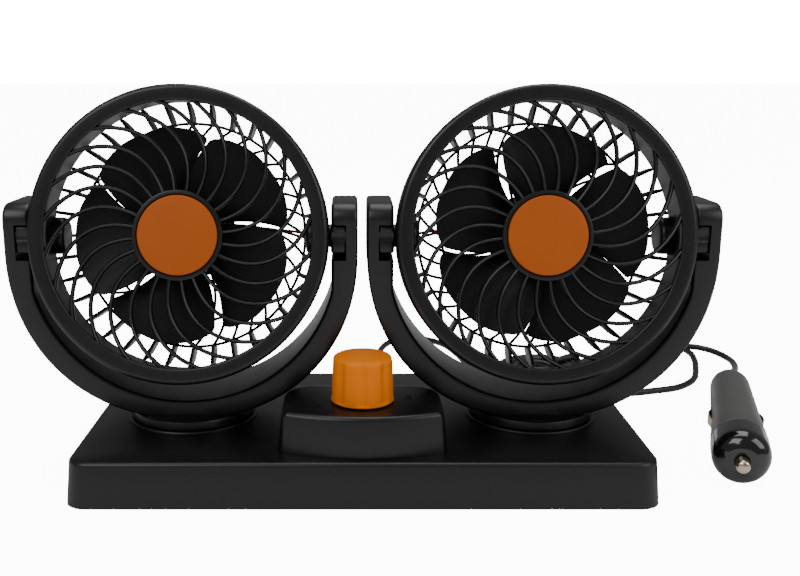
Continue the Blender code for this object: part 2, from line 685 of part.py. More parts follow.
def make_yoke(side, axis):
    """The yoke in its own frame: origin on the swivel axis at the pivot's height."""
    yoke = loft_object(side + "_yoke", [yoke_ring(*station) for station in yoke_stations()], BLACK)
    foot_low = BASE_HEIGHT + PEDESTAL_HEIGHT + RUNNING_GAP - PIVOT_HEIGHT
    spigot_low = BASE_HEIGHT - BASE_WALL - GAP - PIVOT_HEIGHT
    foot_high = foot_low + YOKE_FOOT_HEIGHT
    edge = YOKE_EDGE / 2
    profile = [(0, spigot_low), (SPIGOT_RADIUS, spigot_low), (SPIGOT_RADIUS, foot_low),
               (YOKE_FOOT_RADIUS, foot_low), (YOKE_FOOT_RADIUS, foot_high - edge),
               (YOKE_FOOT_RADIUS - edge, foot_high), (0, foot_high)]
    join(yoke, make_object("foot", turned(profile, ROUND_STEPS), BLACK))
    bore = rod_object("bore", YOKE_SCREW_RADIUS + GAP, Vector((0, 0, spigot_low - OVERRUN)),
                      Vector((0, 0, spigot_low + YOKE_SCREW_LENGTH)), 8, BLACK)
    cut(yoke, bore)
    for sign in (-1, 1):
        near = sign * (YOKE_ARM_INNER - OVERRUN)
        far = sign * (YOKE_ARM_INNER + NOTCH_DEPTH)
        notch = box_object("notch", (min(near, far), -YOKE_HALF_DEPTH - OVERRUN, -NOTCH_DROP),
                           (max(near, far), NOTCH_BACK, NOTCH_RISE), BLACK)
        cut(yoke, notch)
        end = sign * (YOKE_HALF_SPAN - TRUNNION_COVER)
        bore = rod_object("bore", TRUNNION_RADIUS + GAP, Vector((near, 0, 0)), Vector((end, 0, 0)),
                          SMALL_ROUND_STEPS, BLACK)
        cut(yoke, bore)
    place(yoke, axis)
    washer_high = spigot_low - GAP
    washer_low = washer_high - RETAINER_THICKNESS
    hole = YOKE_SCREW_RADIUS + GAP
    rim = RETAINER_RADIUS
    profile = [(hole, washer_low), (rim, washer_low), (rim, washer_high), (hole, washer_high)]
    washer = make_object(side + "_swivel_washer", turned(profile, SMALL_ROUND_STEPS, closed=True), STEEL)
    place(washer, axis)
    head_high = washer_low - GAP
    head_low = head_high - YOKE_SCREW_HEAD_HEIGHT
    tip = spigot_low + YOKE_SCREW_LENGTH - GAP
    profile = [(0, head_low), (YOKE_SCREW_HEAD_RADIUS * 0.8, head_low), (YOKE_SCREW_HEAD_RADIUS, head_high),
               (YOKE_SCREW_RADIUS, head_high), (YOKE_SCREW_RADIUS, tip), (0, tip)]
    place(make_object(side + "_swivel_screw", turned(profile, 10), STEEL), axis)


# Head

def spoke_sweep(radius):
    """How far a spoke has turned at this radius: straight at the hub, leaning over towards the ring."""
    share = (radius - HUB_RING_RADIUS) / (RING_LIP_RADIUS - HUB_RING_RADIUS)
    return SPOKE_SWEEP * max(share, 0) ** 2


def bar_sections(phase, radii, sweep_at, height_at, width, depth):
    """A bar's three corners at each radius, square to its path: broad behind, with a ridge in front."""
    points = []
    for radius in radii:
        angle = phase + sweep_at(radius)
        points.append(Vector((radius * math.cos(angle), radius * math.sin(angle), height_at(radius))))
    sections = []
    for index, point in enumerate(points):
        before = points[max(index - 1, 0)]
        after = points[min(index + 1, len(points) - 1)]
        along = (after - before).normalized()
        side = Vector((0, 0, 1)).cross(along).normalized() * width / 2
        up = along.cross(side).normalized() * depth / 2
        sections.append([point - side - up, point + side - up, point + up])
    return sections


def lattice(bars, ringed=None, firsts=(0, 0)):
    """Skins bars that stand around the axis; even and odd bars may start at different sections.

    Each bar is bridged to the next between its ringed section and the one after.
    """
    bm = bmesh.new()
    grid = [[[bm.verts.new(point) for point in section] for section in bar] for bar in bars]
    for number, (bar, following) in enumerate(zip(grid, grid[1:] + grid[:1])):
        first = firsts[number % 2]
        for section in bar[:first]:
            for unused in section:
                bm.verts.remove(unused)
        bm.faces.new(bar[first])
        bm.faces.new(bar[-1])
        for index in range(first, len(bar) - 1):
            low = bar[index]
            high = bar[index + 1]
            bm.faces.new((low[0], low[1], high[1], high[0]))
            if index != ringed:
                bm.faces.new((low[1], low[2], high[2], high[1]))
                bm.faces.new((low[2], low[0], high[0], high[2]))
                continue
            next_low = following[index]
            next_high = following[index + 1]
            bm.faces.new((low[1], next_low[0], next_high[0], high[1]))
            bm.faces.new((low[2], high[2], next_high[2], next_low[2]))
            bm.faces.new((low[1], low[2], next_low[2], next_low[0]))
            bm.faces.new((high[1], next_high[0], next_high[2], high[2]))
    return bm


def make_front_grille():
    """Outer ring with a rounded front, hub cup and 24 curved spokes in one moulding."""
    corner = []
    for step in range(3):
        angle = step / 2 * math.pi / 2
        corner.append((RING_RADIUS - RING_ROUND * (1 - math.cos(angle)),
                       RING_FRONT - RING_ROUND * (1 - math.sin(angle))))
    inner = RING_RADIUS - RING_WALL
    lip_back = RING_FRONT - RING_LIP_THICKNESS
    profile = [(inner, RING_SKIRT_BACK), (RING_RADIUS, RING_SKIRT_BACK)] + corner
    profile += [(RING_LIP_RADIUS, RING_FRONT - RING_ROUND / 4), (RING_LIP_RADIUS, lip_back),
                (inner, lip_back)]
    steps = 2 * SPOKE_COUNT
    start = SPOKE_PHASE + SPOKE_SWEEP + math.pi / steps
    grille = make_object("left_front_grille", turned(profile, steps, closed=True, start=start), BLACK)
    first = (HUB_RING_RADIUS + HUB_CUP_RADIUS) / 2
    last = RING_LIP_RADIUS + RING_ROUND / 2
    radii = [first + (last - first) * step / SPOKE_STEPS for step in range(SPOKE_STEPS + 1)]
    middle = RING_FRONT - SPOKE_SINK - SPOKE_DEPTH / 2
    bars = []
    for number in range(SPOKE_COUNT):
        phase = SPOKE_PHASE + math.tau * number / SPOKE_COUNT
        bars.append(bar_sections(phase, radii, spoke_sweep, lambda r: middle, SPOKE_WIDTH, SPOKE_DEPTH))
    join(grille, make_object("spokes", lattice(bars), BLACK))
    edge = RING_ROUND / 4
    floor = RING_FRONT - HUB_CUP_DEPTH
    profile = [(0, HUB_RING_BACK), (HUB_RING_RADIUS, HUB_RING_BACK), (HUB_RING_RADIUS, RING_FRONT - edge),
               (HUB_RING_RADIUS - edge, RING_FRONT), (HUB_CUP_RADIUS, RING_FRONT),
               (HUB_CUP_RADIUS, floor), (0, floor)]
    join(grille, make_object("hub", turned(profile, HUB_STEPS), BLACK))
    return grille


def make_hub_cap():
    low = RING_FRONT - HUB_CUP_DEPTH + GAP
    high = RING_FRONT + CAP_RISE
    radius = HUB_CUP_RADIUS - GAP
    profile = [(0, low), (radius, low), (radius, high - CAP_EDGE), (radius - CAP_EDGE, high),
               (0, high + CAP_EDGE / 3)]
    return make_object("left_hub_cap", turned(profile, HUB_STEPS), ORANGE)


def rib_height(radius):
    """The basket's depth behind the pivot at one radius: a quarter-ellipse bowl from the band to the cup."""
    rim = RING_RADIUS - RING_WALL - GAP - BAND_WALL / 2
    share = (radius - CUP_RADIUS) / (rim - CUP_RADIUS)
    share = max(0, min(1, share))
    floor = BASKET_BACK + RIB_DEPTH
    top = BAND_BACK + RIB_DEPTH
    return top + (floor - top) * (1 - share ** BASKET_RADIUS_POWER) ** BASKET_DEPTH_POWER


def make_rear_cover():
    """Rim band with its trunnions, motor cup, and the ribs and middle ring between them."""
    outer = RING_RADIUS - RING_WALL - GAP
    inner = outer - BAND_WALL
    shoulder = RING_SKIRT_BACK - GAP
    front = RING_SKIRT_BACK + BAND_FRONT_LAP
    flush = RING_RADIUS - RING_WALL / 4
    profile = [(inner, BAND_BACK), (flush, BAND_BACK), (flush, shoulder), (outer, shoulder), (outer, front),
               (inner, front)]
    start = RIB_PHASE + RIB_SWEEP + math.pi / RIB_COUNT
    cover = make_object("left_rear_cover", turned(profile, RIB_COUNT, closed=True, start=start), BLACK)
    for sign in (-1, 1):
        bore_end = sign * (YOKE_HALF_SPAN - TRUNNION_COVER - RUNNING_GAP)
        root = sign * (inner + BAND_WALL / 2)
        trunnion = rod_object("trunnion", TRUNNION_RADIUS, Vector((root, 0, 0)), Vector((bore_end, 0, 0)),
                              SMALL_ROUND_STEPS, BLACK)
        join(cover, trunnion)
        boss = rod_object("boss", TRUNNION_BOSS_RADIUS, Vector((sign * (inner - TRUNNION_BOSS_REACH), 0, 0)),
                          Vector((sign * outer, 0, 0)), SMALL_ROUND_STEPS, BLACK)
        join(cover, boss)
    rim = inner + BAND_WALL / 2
    root = CUP_RADIUS - CUP_WALL / 2
    span = rim - root
    wide = MIDDLE_RING_WIDTH / 2
    radii = [root, (root + MIDDLE_RING_RADIUS) / 2, MIDDLE_RING_RADIUS - wide, MIDDLE_RING_RADIUS + wide, rim]

    def rib_sweep(radius):
        return RIB_SWEEP * ((radius - root) / span) ** RIB_SWEEP_POWER

    bars = []
    for number in range(RIB_COUNT):
        phase = RIB_PHASE + math.tau * number / RIB_COUNT
        bars.append(bar_sections(phase, radii, rib_sweep, rib_height, RIB_WIDTH, RIB_DEPTH))
    ring_section = 2
    join(cover, make_object("ribs", lattice(bars, ring_section, (0, ring_section)), BLACK))
    bore = CUP_RADIUS - CUP_WALL
    floor = BASKET_BACK + CUP_FLOOR
    profile = [(0, BASKET_BACK), (CUP_FLANGE - CUP_WALL / 2, BASKET_BACK), (CUP_FLANGE, floor),
               (CUP_RADIUS, floor + CUP_WALL), (CUP_RADIUS, CUP_FRONT), (bore, CUP_FRONT), (bore, floor),
               (0, floor)]
    start = RIB_PHASE + math.pi / CUP_STEPS
    join(cover, make_object("cup", turned(profile, CUP_STEPS, start=start), BLACK))
    return cover


def make_motor():
    back = BASKET_BACK + CUP_FLOOR + GAP
    edge = MOTOR_NOSE_LENGTH / 2
    nose = MOTOR_FRONT + MOTOR_NOSE_LENGTH
    bore = SHAFT_RADIUS + GAP
    profile = [(0, back), (MOTOR_RADIUS - edge, back), (MOTOR_RADIUS, back + edge),
               (MOTOR_RADIUS, MOTOR_FRONT - edge), (MOTOR_RADIUS - edge, MOTOR_FRONT),
               (MOTOR_NOSE_RADIUS, MOTOR_FRONT), (MOTOR_NOSE_RADIUS, nose), (bore, nose),
               (bore, MOTOR_FRONT - SHAFT_SINK), (0, MOTOR_FRONT - SHAFT_SINK)]
    return make_object("left_motor", turned(profile, 10), STEEL)


def make_shaft():
    low = MOTOR_FRONT - SHAFT_SINK + RUNNING_GAP
    high = IMPELLER_FRONT - IMPELLER_WALL - GAP
    profile = [(0, low), (SHAFT_RADIUS, low), (SHAFT_RADIUS, high), (0, high)]
    return make_object("left_motor_shaft", turned(profile, 8), STEEL)


def blade_ring(radius, share):
    """One section of a blade on the cylinder of this radius: leading edge low, trailing edge high."""
    tip_share = max(0, (share - 1 + BLADE_TIP_ROUND_SHARE) / BLADE_TIP_ROUND_SHARE)
    trim = 0.5 * (1 - math.sqrt(max(0, 1 - (BLADE_TIP_TRIM_SHARE * tip_share) ** 2)))
    back = BLADE_ROOT_BACK + (BLADE_TIP_BACK - BLADE_ROOT_BACK) * share
    front = BLADE_ROOT_FRONT + (BLADE_TIP_FRONT - BLADE_ROOT_FRONT) * share
    shift = BLADE_SWEEP * share
    upper = []
    lower = []
    for chord in BLADE_CHORD_SHARES:
        along = trim + (1 - 2 * trim) * chord
        angle = shift + BLADE_ANGLE * (along - 0.5)
        height = back + (front - back) * along - BLADE_CAMBER * 4 * along * (1 - along)
        thick = BLADE_THICKNESS / 2 * (1 if 0 < chord < 1 else 0.5)
        for row, offset in ((upper, thick), (lower, -thick)):
            row.append((radius * math.cos(angle), radius * math.sin(angle), height + offset))
    return upper + lower[::-1]


def make_impeller():
    """A hub cup open to the back with a shaft boss, and five swept blades."""
    floor = IMPELLER_FRONT - IMPELLER_WALL
    edge = IMPELLER_WALL
    bore = SHAFT_RADIUS + GAP
    inner = IMPELLER_HUB_RADIUS - IMPELLER_WALL
    boss_low = IMPELLER_BACK + IMPELLER_WALL
    profile = [(0, IMPELLER_FRONT), (IMPELLER_HUB_RADIUS - edge, IMPELLER_FRONT),
               (IMPELLER_HUB_RADIUS, IMPELLER_FRONT - edge), (IMPELLER_HUB_RADIUS, IMPELLER_BACK),
               (inner, IMPELLER_BACK), (inner, floor), (IMPELLER_BOSS_RADIUS, floor),
               (IMPELLER_BOSS_RADIUS, boss_low), (bore, boss_low), (bore, floor), (0, floor)]
    impeller = make_object("left_impeller", turned(profile, 16), BLACK)
    first = IMPELLER_HUB_RADIUS - IMPELLER_WALL / 2
    for number in range(BLADE_COUNT):
        rings = [blade_ring(first + (BLADE_TIP_RADIUS - first) * share, share) for share in BLADE_SPAN_SHARES]
        blade = loft_object("blade", rings, BLACK)
        blade.data.transform(Matrix.Rotation(math.tau * number / BLADE_COUNT, 4, "Z"))
        join(impeller, blade)
    return impeller


def cord_object(name, points, diameter, choice, resolution):
    """A tube along the points, with filled ends."""
    curve = bpy.data.curves.new(name, "CURVE")
    curve.dimensions = "3D"
    curve.bevel_depth = diameter / 2
    curve.bevel_resolution = resolution
    curve.use_fill_caps = True
    spline = curve.splines.new("POLY")
    spline.points.add(len(points) - 1)
    for spot, point in zip(spline.points, points):
        spot.co = (*point, 1)
    curve.materials.append(material(choice))
    made = bpy.data.objects.new(name, curve)
    bpy.context.collection.objects.link(made)
    return made


def make_motor_lead(inward):
    """The two-core lead from the motor cup to the trunnion on the base's middle side."""
    inner = RING_RADIUS - RING_WALL - GAP - BAND_WALL
    start = CUP_RADIUS + GAP
    end = inner - TRUNNION_BOSS_REACH - GAP
    points = []
    for share in LEAD_SHARES:
        bend = share * share * (3 - 2 * share)
        rise = TRUNNION_RADIUS / 2 * math.sin(math.pi * share)
        points.append((inward * (start + (end - start) * share), rise, LEAD_PLACE * (1 - bend)))
    return points


def make_head(side, swivel, tilt, inward, blade_phase, shared):
    """One head in its yoke; the right head shares the left one's meshes."""
    head = empty(side + "_tilt_axis", (0, 0, 0), swivel, (math.pi / 2 - tilt, 0, 0))
    spin = empty(side + "_spin_axis", (0, 0, 0), head, (0, 0, blade_phase))
    if shared is None:
        shared = {"front_grille": make_front_grille(), "hub_cap": make_hub_cap(),
                  "rear_cover": make_rear_cover(), "motor": make_motor(),
                  "motor_shaft": make_shaft(), "impeller": make_impeller()}
        for key, made in shared.items():
            place(made, spin if key in ("motor_shaft", "impeller") else head)
    else:
        for key, made in shared.items():
            copy_of(made, side + "_" + key, spin if key in ("motor_shaft", "impeller") else head)
    lead = cord_object(side + "_motor_lead", make_motor_lead(inward), LEAD_DIAMETER, RED, 1)
    lead.parent = head
    return shared


# Cord, coil and plug

def smooth_route(points, step):
    """Points along a Catmull-Rom curve through the route, about one step apart."""
    ends = [points[0] * 2 - points[1]] + points + [points[-1] * 2 - points[-2]]
    fine = []
    for p0, p1, p2, p3 in zip(ends, ends[1:], ends[2:], ends[3:]):
        count = max(2, round((p2 - p1).length / step))
        for index in range(count):
            t = index / count
            fine.append((p1 * 2 + (p2 - p0) * t + (p0 * 2 - p1 * 5 + p2 * 4 - p3) * t ** 2
                         + (p1 * 3 - p0 - p2 * 3 + p3) * t ** 3) / 2)
    fine.append(points[-1])
    return fine


def ground(x, y, lift):
    return Vector((x, y, lift + CORD_DIAMETER / 2 + CORD_LIFT))


def coil_height(turn):
    """The lower layer lies on the tie; the climb takes the half turn where the spiral reverses."""
    share = max(0, min(1, (turn - COIL_TURNS / 2 + 0.25) / 0.5))
    return TIE_THICKNESS + GAP + COIL_LAYER_PITCH * share * share * (3 - 2 * share)


def coil_point(turn):
    """A point of the coil: in on the lower layer, out again on the upper one, counter-clockwise."""
    away = turn - COIL_TURNS / 2
    radius = COIL_INNER_RADIUS + COIL_PITCH * abs(away)
    angle = math.pi + math.tau * turn
    x = COIL_CENTRE[0] + radius * math.cos(angle)
    y = COIL_CENTRE[1] + radius * math.sin(angle)
    return ground(x, y, coil_height(turn))


def coil_points():
    count = round(COIL_TURNS * COIL_POINTS_PER_TURN)
    points = [coil_point(COIL_TURNS * index / count) for index in range(count + 1)]
    start = points[0] + Vector((0, CORD_DIAMETER, 0))
    end = points[-1] + Vector((CORD_DIAMETER, 0, 0))
    return [start] + points + [end]


def least_self_gap(points):
    """The least clear distance between stretches of the coil that are not neighbours along it."""
    least = math.inf
    apart = COIL_POINTS_PER_TURN // 3
    for i, point in enumerate(points):
        for a, b in zip(points[i + apart:], points[i + apart + 1:]):
            along = b - a
            t = max(0, min(1, (point - a).dot(along) / along.length_squared))
            least = min(least, (a + along * t - point).length)
    return least - CORD_DIAMETER


def make_cord(bush_end, plug_end, plug_heading):
    points = coil_points()
    print("least gap of the coil to itself, in metres:", round(least_self_gap(points), 5))
    cord_object("cord_coil", points, CORD_DIAMETER, BLACK, 1)
    start = bush_end + Vector((0, GAP, 0))
    first = start + Vector((0, CORD_DIAMETER, 0))
    coil_start = points[0] + Vector((0, GAP, 0))
    route = [first] + [ground(*spot) for spot in LEAD_ROUTE] + [coil_start + Vector((0, CORD_DIAMETER, 0))]
    cord_object("cord_lead", [start] + smooth_route(route, CORD_STEP) + [coil_start], CORD_DIAMETER, BLACK, 2)
    coil_end = points[-1] + Vector((GAP, 0, 0))
    near = plug_end + plug_heading * GAP
    route = [coil_end + Vector((CORD_DIAMETER, 0, 0))] + [ground(*spot) for spot in TAIL_ROUTE]
    route.append(near + plug_heading * CORD_DIAMETER)
    cord_object("cord_tail", [coil_end] + smooth_route(route, CORD_STEP) + [near], CORD_DIAMETER, BLACK, 2)


def make_tie():
    """A strap round the whole bundle of loops, at one place of the coil."""
    clearance = GAP * 2
    low = COIL_INNER_RADIUS - CORD_DIAMETER / 2 - clearance
    high = COIL_INNER_RADIUS + COIL_PITCH * COIL_TURNS / 2 + CORD_DIAMETER / 2 + clearance
    bottom = TIE_THICKNESS
    top = TIE_THICKNESS + GAP + CORD_LIFT + CORD_DIAMETER + COIL_LAYER_PITCH + clearance
    outer = [(low - TIE_THICKNESS, bottom - TIE_THICKNESS), (high + TIE_THICKNESS, bottom - TIE_THICKNESS),
             (high + TIE_THICKNESS, top + TIE_THICKNESS), (low - TIE_THICKNESS, top + TIE_THICKNESS)]
    half = TIE_WIDTH / 2
    tie = loft_object("cord_tie", [[(x, y, z) for x, z in outer] for y in (-half, half)], DARK)
    hole = box_object("hole", (low, -half - OVERRUN, bottom), (high, half + OVERRUN, top), DARK)
    cut(tie, hole)
    place(tie, location=(*COIL_CENTRE, 0), rotation=(0, 0, TIE_ANGLE))


def make_bush():
    """Strain relief: a neck through the base's back wall, a flange and a tapered tail."""
    flange = BUSH_FLANGE_LENGTH
    neck = -(BASE_WALL + BASE_DRAFT)
    tail = flange + BUSH_TAIL_LENGTH
    profile = [(0, neck), (BUSH_NECK_RADIUS, neck), (BUSH_NECK_RADIUS, 0), (BUSH_FLANGE_RADIUS, 0),
               (BUSH_FLANGE_RADIUS, flange * 0.7), (BUSH_FLANGE_RADIUS - flange * 0.3, flange),
               (BUSH_NECK_RADIUS, flange), (BUSH_TAIL_RADIUS, tail), (0, tail)]
    bush = make_object("cord_bush", turned(profile, SMALL_ROUND_STEPS), RUBBER)
    place(bush, location=cord_exit(), rotation=(-math.pi / 2, 0, 0))
    return cord_exit() + Vector((0, tail, 0))


def make_plug():
    """The plug about its own axis: its nose face at the origin, +Z towards the cord."""
    level = math.cos(PLUG_RISE)
    heading = Vector((math.cos(PLUG_HEADING) * level, math.sin(PLUG_HEADING) * level, math.sin(PLUG_RISE)))
    across = Vector((0, 0, 1)).cross(heading).normalized()
    turn = Matrix((across, heading.cross(across), heading)).transposed()
    origin = Vector((*PLUG_PLACE, PLUG_HEIGHT))
    axis = empty("plug_axis", origin, None, turn.to_euler())
    pin_bore = PLUG_PIN_RADIUS + GAP
    profile = [(pin_bore, 0), (PLUG_NOSE_FACE_RADIUS, 0), (PLUG_RADIUS * 0.86, PLUG_NOSE_TAPER / 3),
               (PLUG_RADIUS, PLUG_NOSE_TAPER), (PLUG_RADIUS, PLUG_NOSE_LENGTH), (pin_bore, PLUG_NOSE_LENGTH)]
    nose = make_object("plug_nose", turned(profile, ROUND_STEPS, closed=True), BLACK)
    place(nose, axis)
    body_low = PLUG_NOSE_LENGTH + GAP
    tail = PLUG_LENGTH - PLUG_PIN_REACH
    shoulder = tail - PLUG_NECK_LENGTH - PLUG_SHOULDER
    bore_end = PLUG_NOSE_LENGTH + PLUG_BORE_LENGTH
    profile = [(0, bore_end), (PLUG_BORE, bore_end), (PLUG_BORE, body_low), (PLUG_RADIUS - GAP, body_low),
               (PLUG_TAIL_RADIUS, shoulder)]
    for step in range(1, 4):
        angle = step / 3 * math.pi / 2
        profile.append((PLUG_NECK_RADIUS + (PLUG_TAIL_RADIUS - PLUG_NECK_RADIUS) * math.cos(angle),
                        shoulder + PLUG_SHOULDER * math.sin(angle)))
    profile += [(PLUG_NECK_RADIUS, tail), (0, tail)]
    body = make_object("plug_body", turned(profile, ROUND_STEPS), DARK)
    for sign, name in ((-1, "plug_contact_right"), (1, "plug_contact_left")):
        contact_low = PLUG_CONTACT_PLACE
        contact_high = PLUG_CONTACT_PLACE + PLUG_CONTACT_LENGTH
        share = (contact_high - body_low) / (shoulder - body_low)
        skin = PLUG_RADIUS + (PLUG_TAIL_RADIUS - PLUG_RADIUS) * share
        near = sign * (skin - PLUG_SLOT_DEPTH)
        far = sign * (PLUG_RADIUS + OVERRUN)
        wide = PLUG_CONTACT_WIDTH / 2 + GAP
        slot = box_object("slot", (min(near, far), -wide, contact_low - GAP),
                          (max(near, far), wide, contact_high + GAP), DARK)
        cut(body, slot)
        rings = []
        bow = PLUG_CONTACT_RISE + PLUG_CONTACT_THICKNESS
        half = PLUG_CONTACT_WIDTH / 2
        for share in PLUG_CONTACT_SHARES:
            rise = skin - PLUG_CONTACT_THICKNESS * 2.2 + bow * math.sin(math.pi * share)
            under = rise - PLUG_CONTACT_THICKNESS
            z = contact_low + (contact_high - contact_low) * share
            rings.append([(sign * under, -half, z), (sign * rise, -half, z), (sign * rise, half, z),
                          (sign * under, half, z)])
        place(loft_object(name, rings, BRASS), axis)
    place(body, axis)
    flange = PLUG_BORE - RUNNING_GAP
    flange_low = PLUG_NOSE_LENGTH + GAP * 2
    flange_high = flange_low + PLUG_PIN_TRAVEL
    round_back = -PLUG_PIN_REACH + PLUG_PIN_RADIUS * 0.7
    round_front = -PLUG_PIN_REACH + PLUG_PIN_RADIUS * 0.3
    profile = [(0, -PLUG_PIN_REACH), (PLUG_PIN_RADIUS * 0.7, round_front), (PLUG_PIN_RADIUS, round_back),
               (PLUG_PIN_RADIUS, flange_low), (flange, flange_low), (flange, flange_high), (0, flange_high)]
    place(make_object("plug_pin", turned(profile, SMALL_ROUND_STEPS), BRASS), axis)
    fuse_low = flange_high + GAP
    fuse_high = fuse_low + FUSE_LENGTH
    profile = [(0, fuse_low), (FUSE_RADIUS, fuse_low), (FUSE_RADIUS, fuse_high), (0, fuse_high)]
    place(make_object("plug_fuse", turned(profile, 10), STEEL), axis)
    return origin + heading * tail, heading


def main():
    for made in list(bpy.data.objects):
        bpy.data.objects.remove(made, do_unlink=True)
    make_base()
    make_base_plate()
    make_feet()
    make_switch()
    make_knob(empty("knob_axis", (0, boss_centre(), boss_top() + RUNNING_GAP)))
    shared = None
    poses = {"left": (LEFT_TILT, 1, LEFT_BLADE_PHASE), "right": (RIGHT_TILT, -1, RIGHT_BLADE_PHASE)}
    for side, x in swivel_places():
        swivel = empty(side + "_swivel_axis", (x, 0, PIVOT_HEIGHT))
        make_yoke(side, swivel)
        tilt, inward, phase = poses[side]
        shared = make_head(side, swivel, tilt, inward, phase, shared)
    plug_end, plug_heading = make_plug()
    make_cord(make_bush(), plug_end, plug_heading)
    make_tie()


main()
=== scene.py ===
"""Dual head car fan, dressed: two caged fan heads in swivelling yokes on a switch base, with a 12 V cord."""
import json
import math

import bmesh
import bpy
from mathutils import Matrix, Vector

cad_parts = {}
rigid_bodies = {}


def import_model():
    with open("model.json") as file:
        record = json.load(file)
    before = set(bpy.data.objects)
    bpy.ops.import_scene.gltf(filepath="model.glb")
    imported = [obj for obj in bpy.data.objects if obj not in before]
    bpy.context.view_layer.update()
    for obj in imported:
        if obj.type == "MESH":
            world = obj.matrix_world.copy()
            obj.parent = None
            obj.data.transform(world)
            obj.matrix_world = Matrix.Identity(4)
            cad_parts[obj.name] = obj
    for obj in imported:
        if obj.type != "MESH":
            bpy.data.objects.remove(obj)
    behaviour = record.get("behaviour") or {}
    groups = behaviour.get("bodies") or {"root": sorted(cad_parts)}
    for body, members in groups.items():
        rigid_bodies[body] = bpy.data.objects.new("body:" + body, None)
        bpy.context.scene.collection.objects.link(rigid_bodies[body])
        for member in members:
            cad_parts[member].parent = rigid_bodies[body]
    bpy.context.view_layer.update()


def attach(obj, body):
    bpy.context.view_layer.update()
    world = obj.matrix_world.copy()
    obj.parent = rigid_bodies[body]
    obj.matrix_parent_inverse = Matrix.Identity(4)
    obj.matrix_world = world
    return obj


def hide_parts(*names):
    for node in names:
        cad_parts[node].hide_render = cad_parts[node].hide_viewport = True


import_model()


# Camera
# The photographer stands in front of the fan, a little above it, and aims slightly down. The frame is
# shifted sideways because the picture is cut unevenly round the object.

camera_place = (-0.0042, -0.3734, 0.1525)
camera_pitch = math.radians(12.6)
camera_lens = 43.78
camera_sensor = 36
camera_shift = (0.0610, 0.0010)
camera_near = 0.01
camera_data = bpy.data.cameras.new("camera")
camera_data.lens = camera_lens
camera_data.sensor_width = camera_sensor
camera_data.shift_x, camera_data.shift_y = camera_shift
camera_data.clip_start = camera_near
camera = bpy.data.objects.new("camera", camera_data)
camera.location = camera_place
camera.rotation_euler = (math.pi / 2 - camera_pitch, 0, 0)
bpy.context.collection.objects.link(camera)
bpy.context.scene.camera = camera


# Base shell
# The base is one shallow tray moulded in black plastic, drafted and open below. The switch boss stands on
# its front and a low round pedestal under each yoke. It is screwed to its bottom plate from below.

base_size = (0.2110, 0.1060)
base_height = 0.0179
base_draft = 0.0014
base_lift = 0.0010
base_corner = 0.008
base_edge = 0.0015
base_wall = 0.0022
boss_size = (0.0620, 0.0400)
boss_height = 0.0152
boss_setback = 0.0037
boss_bow = 0.0062
boss_draft = 0.0016
boss_front_corner = 0.0050
boss_back_corner = 0.0120
boss_edge = 0.0018
hollow_side_share = 0.44
hollow_front_share = 0.30
hollow_back_share = 0.40
pedestal_radius = 0.0256
pedestal_height = 0.0008
swivel_hole_radius = 0.0083
switch_hole_radius = 0.0049
cord_hole_radius = 0.0033
cord_hole_reach = (0.0480, 0.0600)
cord_exit_x = 0.0040
cord_exit_height = 0.0085
swivel_spacing = 0.1356
sink = 0.0010                   # how far joined forms reach into each other, and the width of a pick
cloud_scale = 90
cloud_detail = 5
grain_detail = 3
grain_depth = 0.0002
coat_roughness = 0.08
sides_x = {"left": -swivel_spacing / 2, "right": swivel_spacing / 2}
boss_middle = -base_size[1] / 2 + boss_setback + boss_size[1] / 2
boss_top = base_height + boss_height


def deselect_all():
    """An operator works on all that is selected, so nothing is when a new piece starts."""
    for thing in bpy.data.objects:
        thing.select_set(False)


def select_only(piece):
    """Selects this piece alone and makes it the active one."""
    deselect_all()
    piece.select_set(True)
    bpy.context.view_layer.objects.active = piece


def apply_place():
    """Puts the new object's place, turn and size into its mesh."""
    bpy.ops.object.transform_apply(location=True, rotation=True, scale=True)
    return bpy.context.object


def begin_shaping():
    """Applies the new primitive's place and opens it in edit mode."""
    apply_place()
    bpy.ops.object.mode_set(mode="EDIT")


def end_shaping():
    """Turns all faces outwards and leaves edit mode."""
    bpy.ops.mesh.select_mode(type="VERT")
    bpy.ops.mesh.select_all(action="SELECT")
    bpy.ops.mesh.normals_make_consistent(inside=False)
    bpy.ops.object.mode_set(mode="OBJECT")
    return bpy.context.object


def pick(kind, test):
    """In edit mode, selects only the corners, edges or faces whose corners all pass the test."""
    bpy.ops.mesh.select_mode(type=kind)
    bpy.ops.mesh.select_all(action="DESELECT")
    shape = bmesh.from_edit_mesh(bpy.context.edit_object.data)
    for item in {"VERT": shape.verts, "EDGE": shape.edges, "FACE": shape.faces}[kind]:
        corners = [item] if kind == "VERT" else item.verts
        item.select_set(all(test(corner.co) for corner in corners))
    bmesh.update_edit_mesh(bpy.context.edit_object.data)


def pick_edges(test):
    """In edit mode, selects only the edges whose two ends pass the test together."""
    bpy.ops.mesh.select_mode(type="EDGE")
    bpy.ops.mesh.select_all(action="DESELECT")
    shape = bmesh.from_edit_mesh(bpy.context.edit_object.data)
    for edge in shape.edges:
        edge.select_set(test(*[vert.co for vert in edge.verts]))
    bmesh.update_edit_mesh(bpy.context.edit_object.data)


def pick_first_ring(sides):
    """In edit mode, adds the corners that were made first to what is selected."""
    shape = bmesh.from_edit_mesh(bpy.context.edit_object.data)
    shape.verts.ensure_lookup_table()
    for vert in shape.verts[:sides]:
        vert.select_set(True)
    shape.select_flush(True)
    bmesh.update_edit_mesh(bpy.context.edit_object.data)


def extrude(x=0, y=0, z=0):
    bpy.ops.mesh.extrude_region_move(TRANSFORM_OT_translate={"value": (x, y, z)})


def extrude_edges(x=0, y=0, z=0):
    bpy.ops.mesh.extrude_edges_move(TRANSFORM_OT_translate={"value": (x, y, z)})


